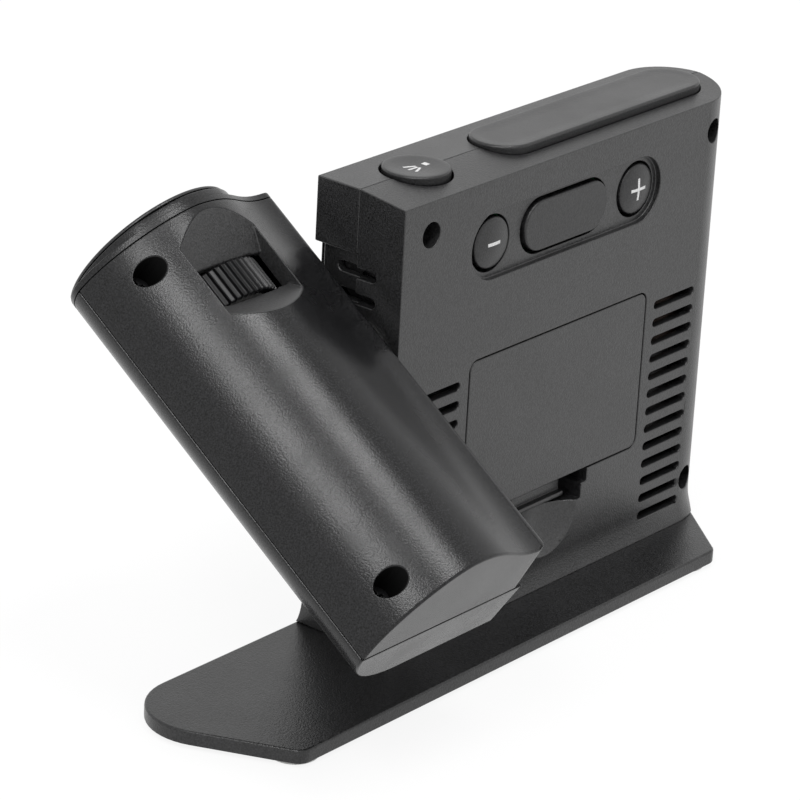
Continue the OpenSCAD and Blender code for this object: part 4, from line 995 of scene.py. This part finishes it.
def digits(name, text, x, z, height):
    """A row of digits, centred on a place of the display."""
    w, thick = WIDE * height, THICK * height
    steps = [(COLON if c == ":" else WIDE + GAP) * height for c in text]
    dot = panel(thick, thick, thick / 3)(0)
    bm = bmesh.new()
    pen = x - sum(steps) / 2
    for c, step in zip(text, steps):
        mid = pen + step / 2
        pen += step
        spots = {"g": (mid, z, w, thick, 0)}
        for key, level_by in (("a", 1), ("d", -1)):
            spots[key] = (mid, z + level_by * height / 2, w, thick, 0)
        for key, side, level_by in (("f", -1, 1), ("b", 1, 1), ("e", -1, -1), ("c", 1, -1)):
            spots[key] = (mid + side * w / 2, z + level_by * height / 4, height / 2, thick, 1)
        shapes = [segment(*spots[k]) for k in SEGMENTS.get(c, "")]
        if c == ":":
            shapes = [[(mid + a, z + s * height / 5 + b) for a, b in dot] for s in (-1, 1)]
        for shape in shapes:
            ends = []
            for off in OFF_FACE:
                ends.append([bm.verts.new(Vector((a, LCD_FACE + off, b)) * MM) for a, b in shape])
            bm.faces.new(ends[0])
            bm.faces.new(ends[1][::-1])
            for i in range(len(shape)):
                j = (i + 1) % len(shape)
                bm.faces.new((ends[0][i], ends[1][i], ends[1][j], ends[0][j]))
    bmesh.ops.recalc_face_normals(bm, faces=bm.faces)
    finished(as_object(name, bm), "clock", digit)


digits("time_digits", "10:08", VIEW_X, 51, 17)
digits("alarm_digits", "6:30", -34, 26.5, 9)
digits("room_digits", "21", -4, 26.5, 9)

# %% [markdown]
# ## Finishes for the solids that stay
# Everything else keeps its exact solid, inside and out, and only gets its
# finish. Each one is named here, so that none is left with a plain colour.

# %% Materials by solid
KEPT = {
    well_shade_dark_screw: ["base_screws", "housing_screws", "arm_screws"],
    steel: ["board_screws", "pivot_clip", "wave_washer"],
    spring_steel: ["battery_contacts", "battery_springs"],
    board: ["main_board", "top_board", "key_board", "lamp_board"],
    white: ["display_frame", "light_guide", "lamp_housing", "thrust_washer"],
    button: ["sounder", "dc_jack", "pivot_shaft", "lens_tube", "lens_barrel"],
    ferrite: ["ferrite_rod"],
    copper: ["antenna_coil"],
    jacket: ["cell_upper", "cell_lower"],
    wire: ["main_lead", "lamp_lead"],
    glass: ["condenser_lens", "projection_lens"],
    lcd_ground: ["lcd_panel"],
    slide: ["slide_panel"],
}
for material, names in KEPT.items():
    for name in names:
        mesh = nodes[name].data
        mesh.materials.clear()
        mesh.materials.append(material)
print("solids with a finish:", sum(len(names) for names in KEPT.values()))

# %% [markdown]
# ## Light and ground
# The clock stands on white, in soft light from all round. The ground is nearly
# white to the camera, to reflections and through glass, and a small share of it
# stays a plain surface, which keeps a trace of the shadow. A brighter ground would
# do the same, but it would also light the clock from below.


# %% Ground
GLOW_SHARE = 0.88


def white_rays(tree):
    """One for a ray from the camera, off gloss or through glass, and nothing for other light."""
    ray = tree.nodes.new("ShaderNodeLightPath")
    value = ray.outputs["Is Camera Ray"]
    for kind in ("Is Glossy Ray", "Is Transmission Ray"):
        either = tree.nodes.new("ShaderNodeMath")
        either.operation = "MAXIMUM"
        tree.links.new(value, either.inputs[0])
        tree.links.new(ray.outputs[kind], either.inputs[1])
        value = either.outputs[0]
    return value


bm = bmesh.new()
bmesh.ops.create_grid(bm, x_segments=1, y_segments=1, size=3)
ground = as_object("ground", bm)
paper = bpy.data.materials.new("pale ground")
paper.use_nodes = True
tree = paper.node_tree
shader = tree.nodes["Principled BSDF"]
shader.inputs["Base Color"].default_value = (0.85, 0.85, 0.85, 1)
shader.inputs["Roughness"].default_value = 0.6
glow = tree.nodes.new("ShaderNodeEmission")
glow.inputs["Strength"].default_value = 1.0
share = tree.nodes.new("ShaderNodeMath")
share.operation = "MULTIPLY"
share.inputs[1].default_value = GLOW_SHARE
blend = tree.nodes.new("ShaderNodeMixShader")
tree.links.new(white_rays(tree), share.inputs[0])
tree.links.new(share.outputs[0], blend.inputs[0])
tree.links.new(shader.outputs[0], blend.inputs[1])
tree.links.new(glow.outputs[0], blend.inputs[2])
tree.links.new(blend.outputs[0], tree.nodes["Material Output"].inputs["Surface"])
ground.data.materials.append(paper)
print("ground is 6 m across")

# %% [markdown]
# ## World and lamps
# A white room gives the even light, and because it is plain white at a strength of
# one, it is also the white behind the clock. Two square soft boxes add the long
# highlights on the arm and the bright edge on the round end. A small lamp would
# give hard shadows, so both are a third of a metre wide.

# %% World
world = bpy.data.worlds.new("white room")
bpy.context.scene.world = world
world.use_nodes = True
room = world.node_tree.nodes["Background"]
room.inputs["Color"].default_value = (1, 1, 1, 1)
room.inputs["Strength"].default_value = 1.0
print("the room is white at a strength of", room.inputs["Strength"].default_value)

# %% Lamps
AIM = Vector((0.05, 0, 0.06))
LAMPS = {"back box": (0.05, 0.42, 1.24), "side box": (0.76, 0.28, 1.05)}
LAMP_SIZE, LAMP_POWER = 0.34, 5.4
for name, where in LAMPS.items():
    data = bpy.data.lights.new(name, "AREA")
    data.size, data.energy = LAMP_SIZE, LAMP_POWER
    lamp = bpy.data.objects.new(name, data)
    lamp.location = where
    lamp.rotation_mode = "QUATERNION"
    lamp.rotation_quaternion = (AIM - Vector(where)).to_track_quat("-Z", "Y")
    bpy.context.scene.collection.objects.link(lamp)
    print(name, "stands", round((AIM - Vector(where)).length, 2), "m from the clock")

# %% [markdown]
# ## View
# The view stays at the Standard transform, so that a colour renders about as it is
# written.

bpy.context.scene.view_settings.view_transform = "Standard"
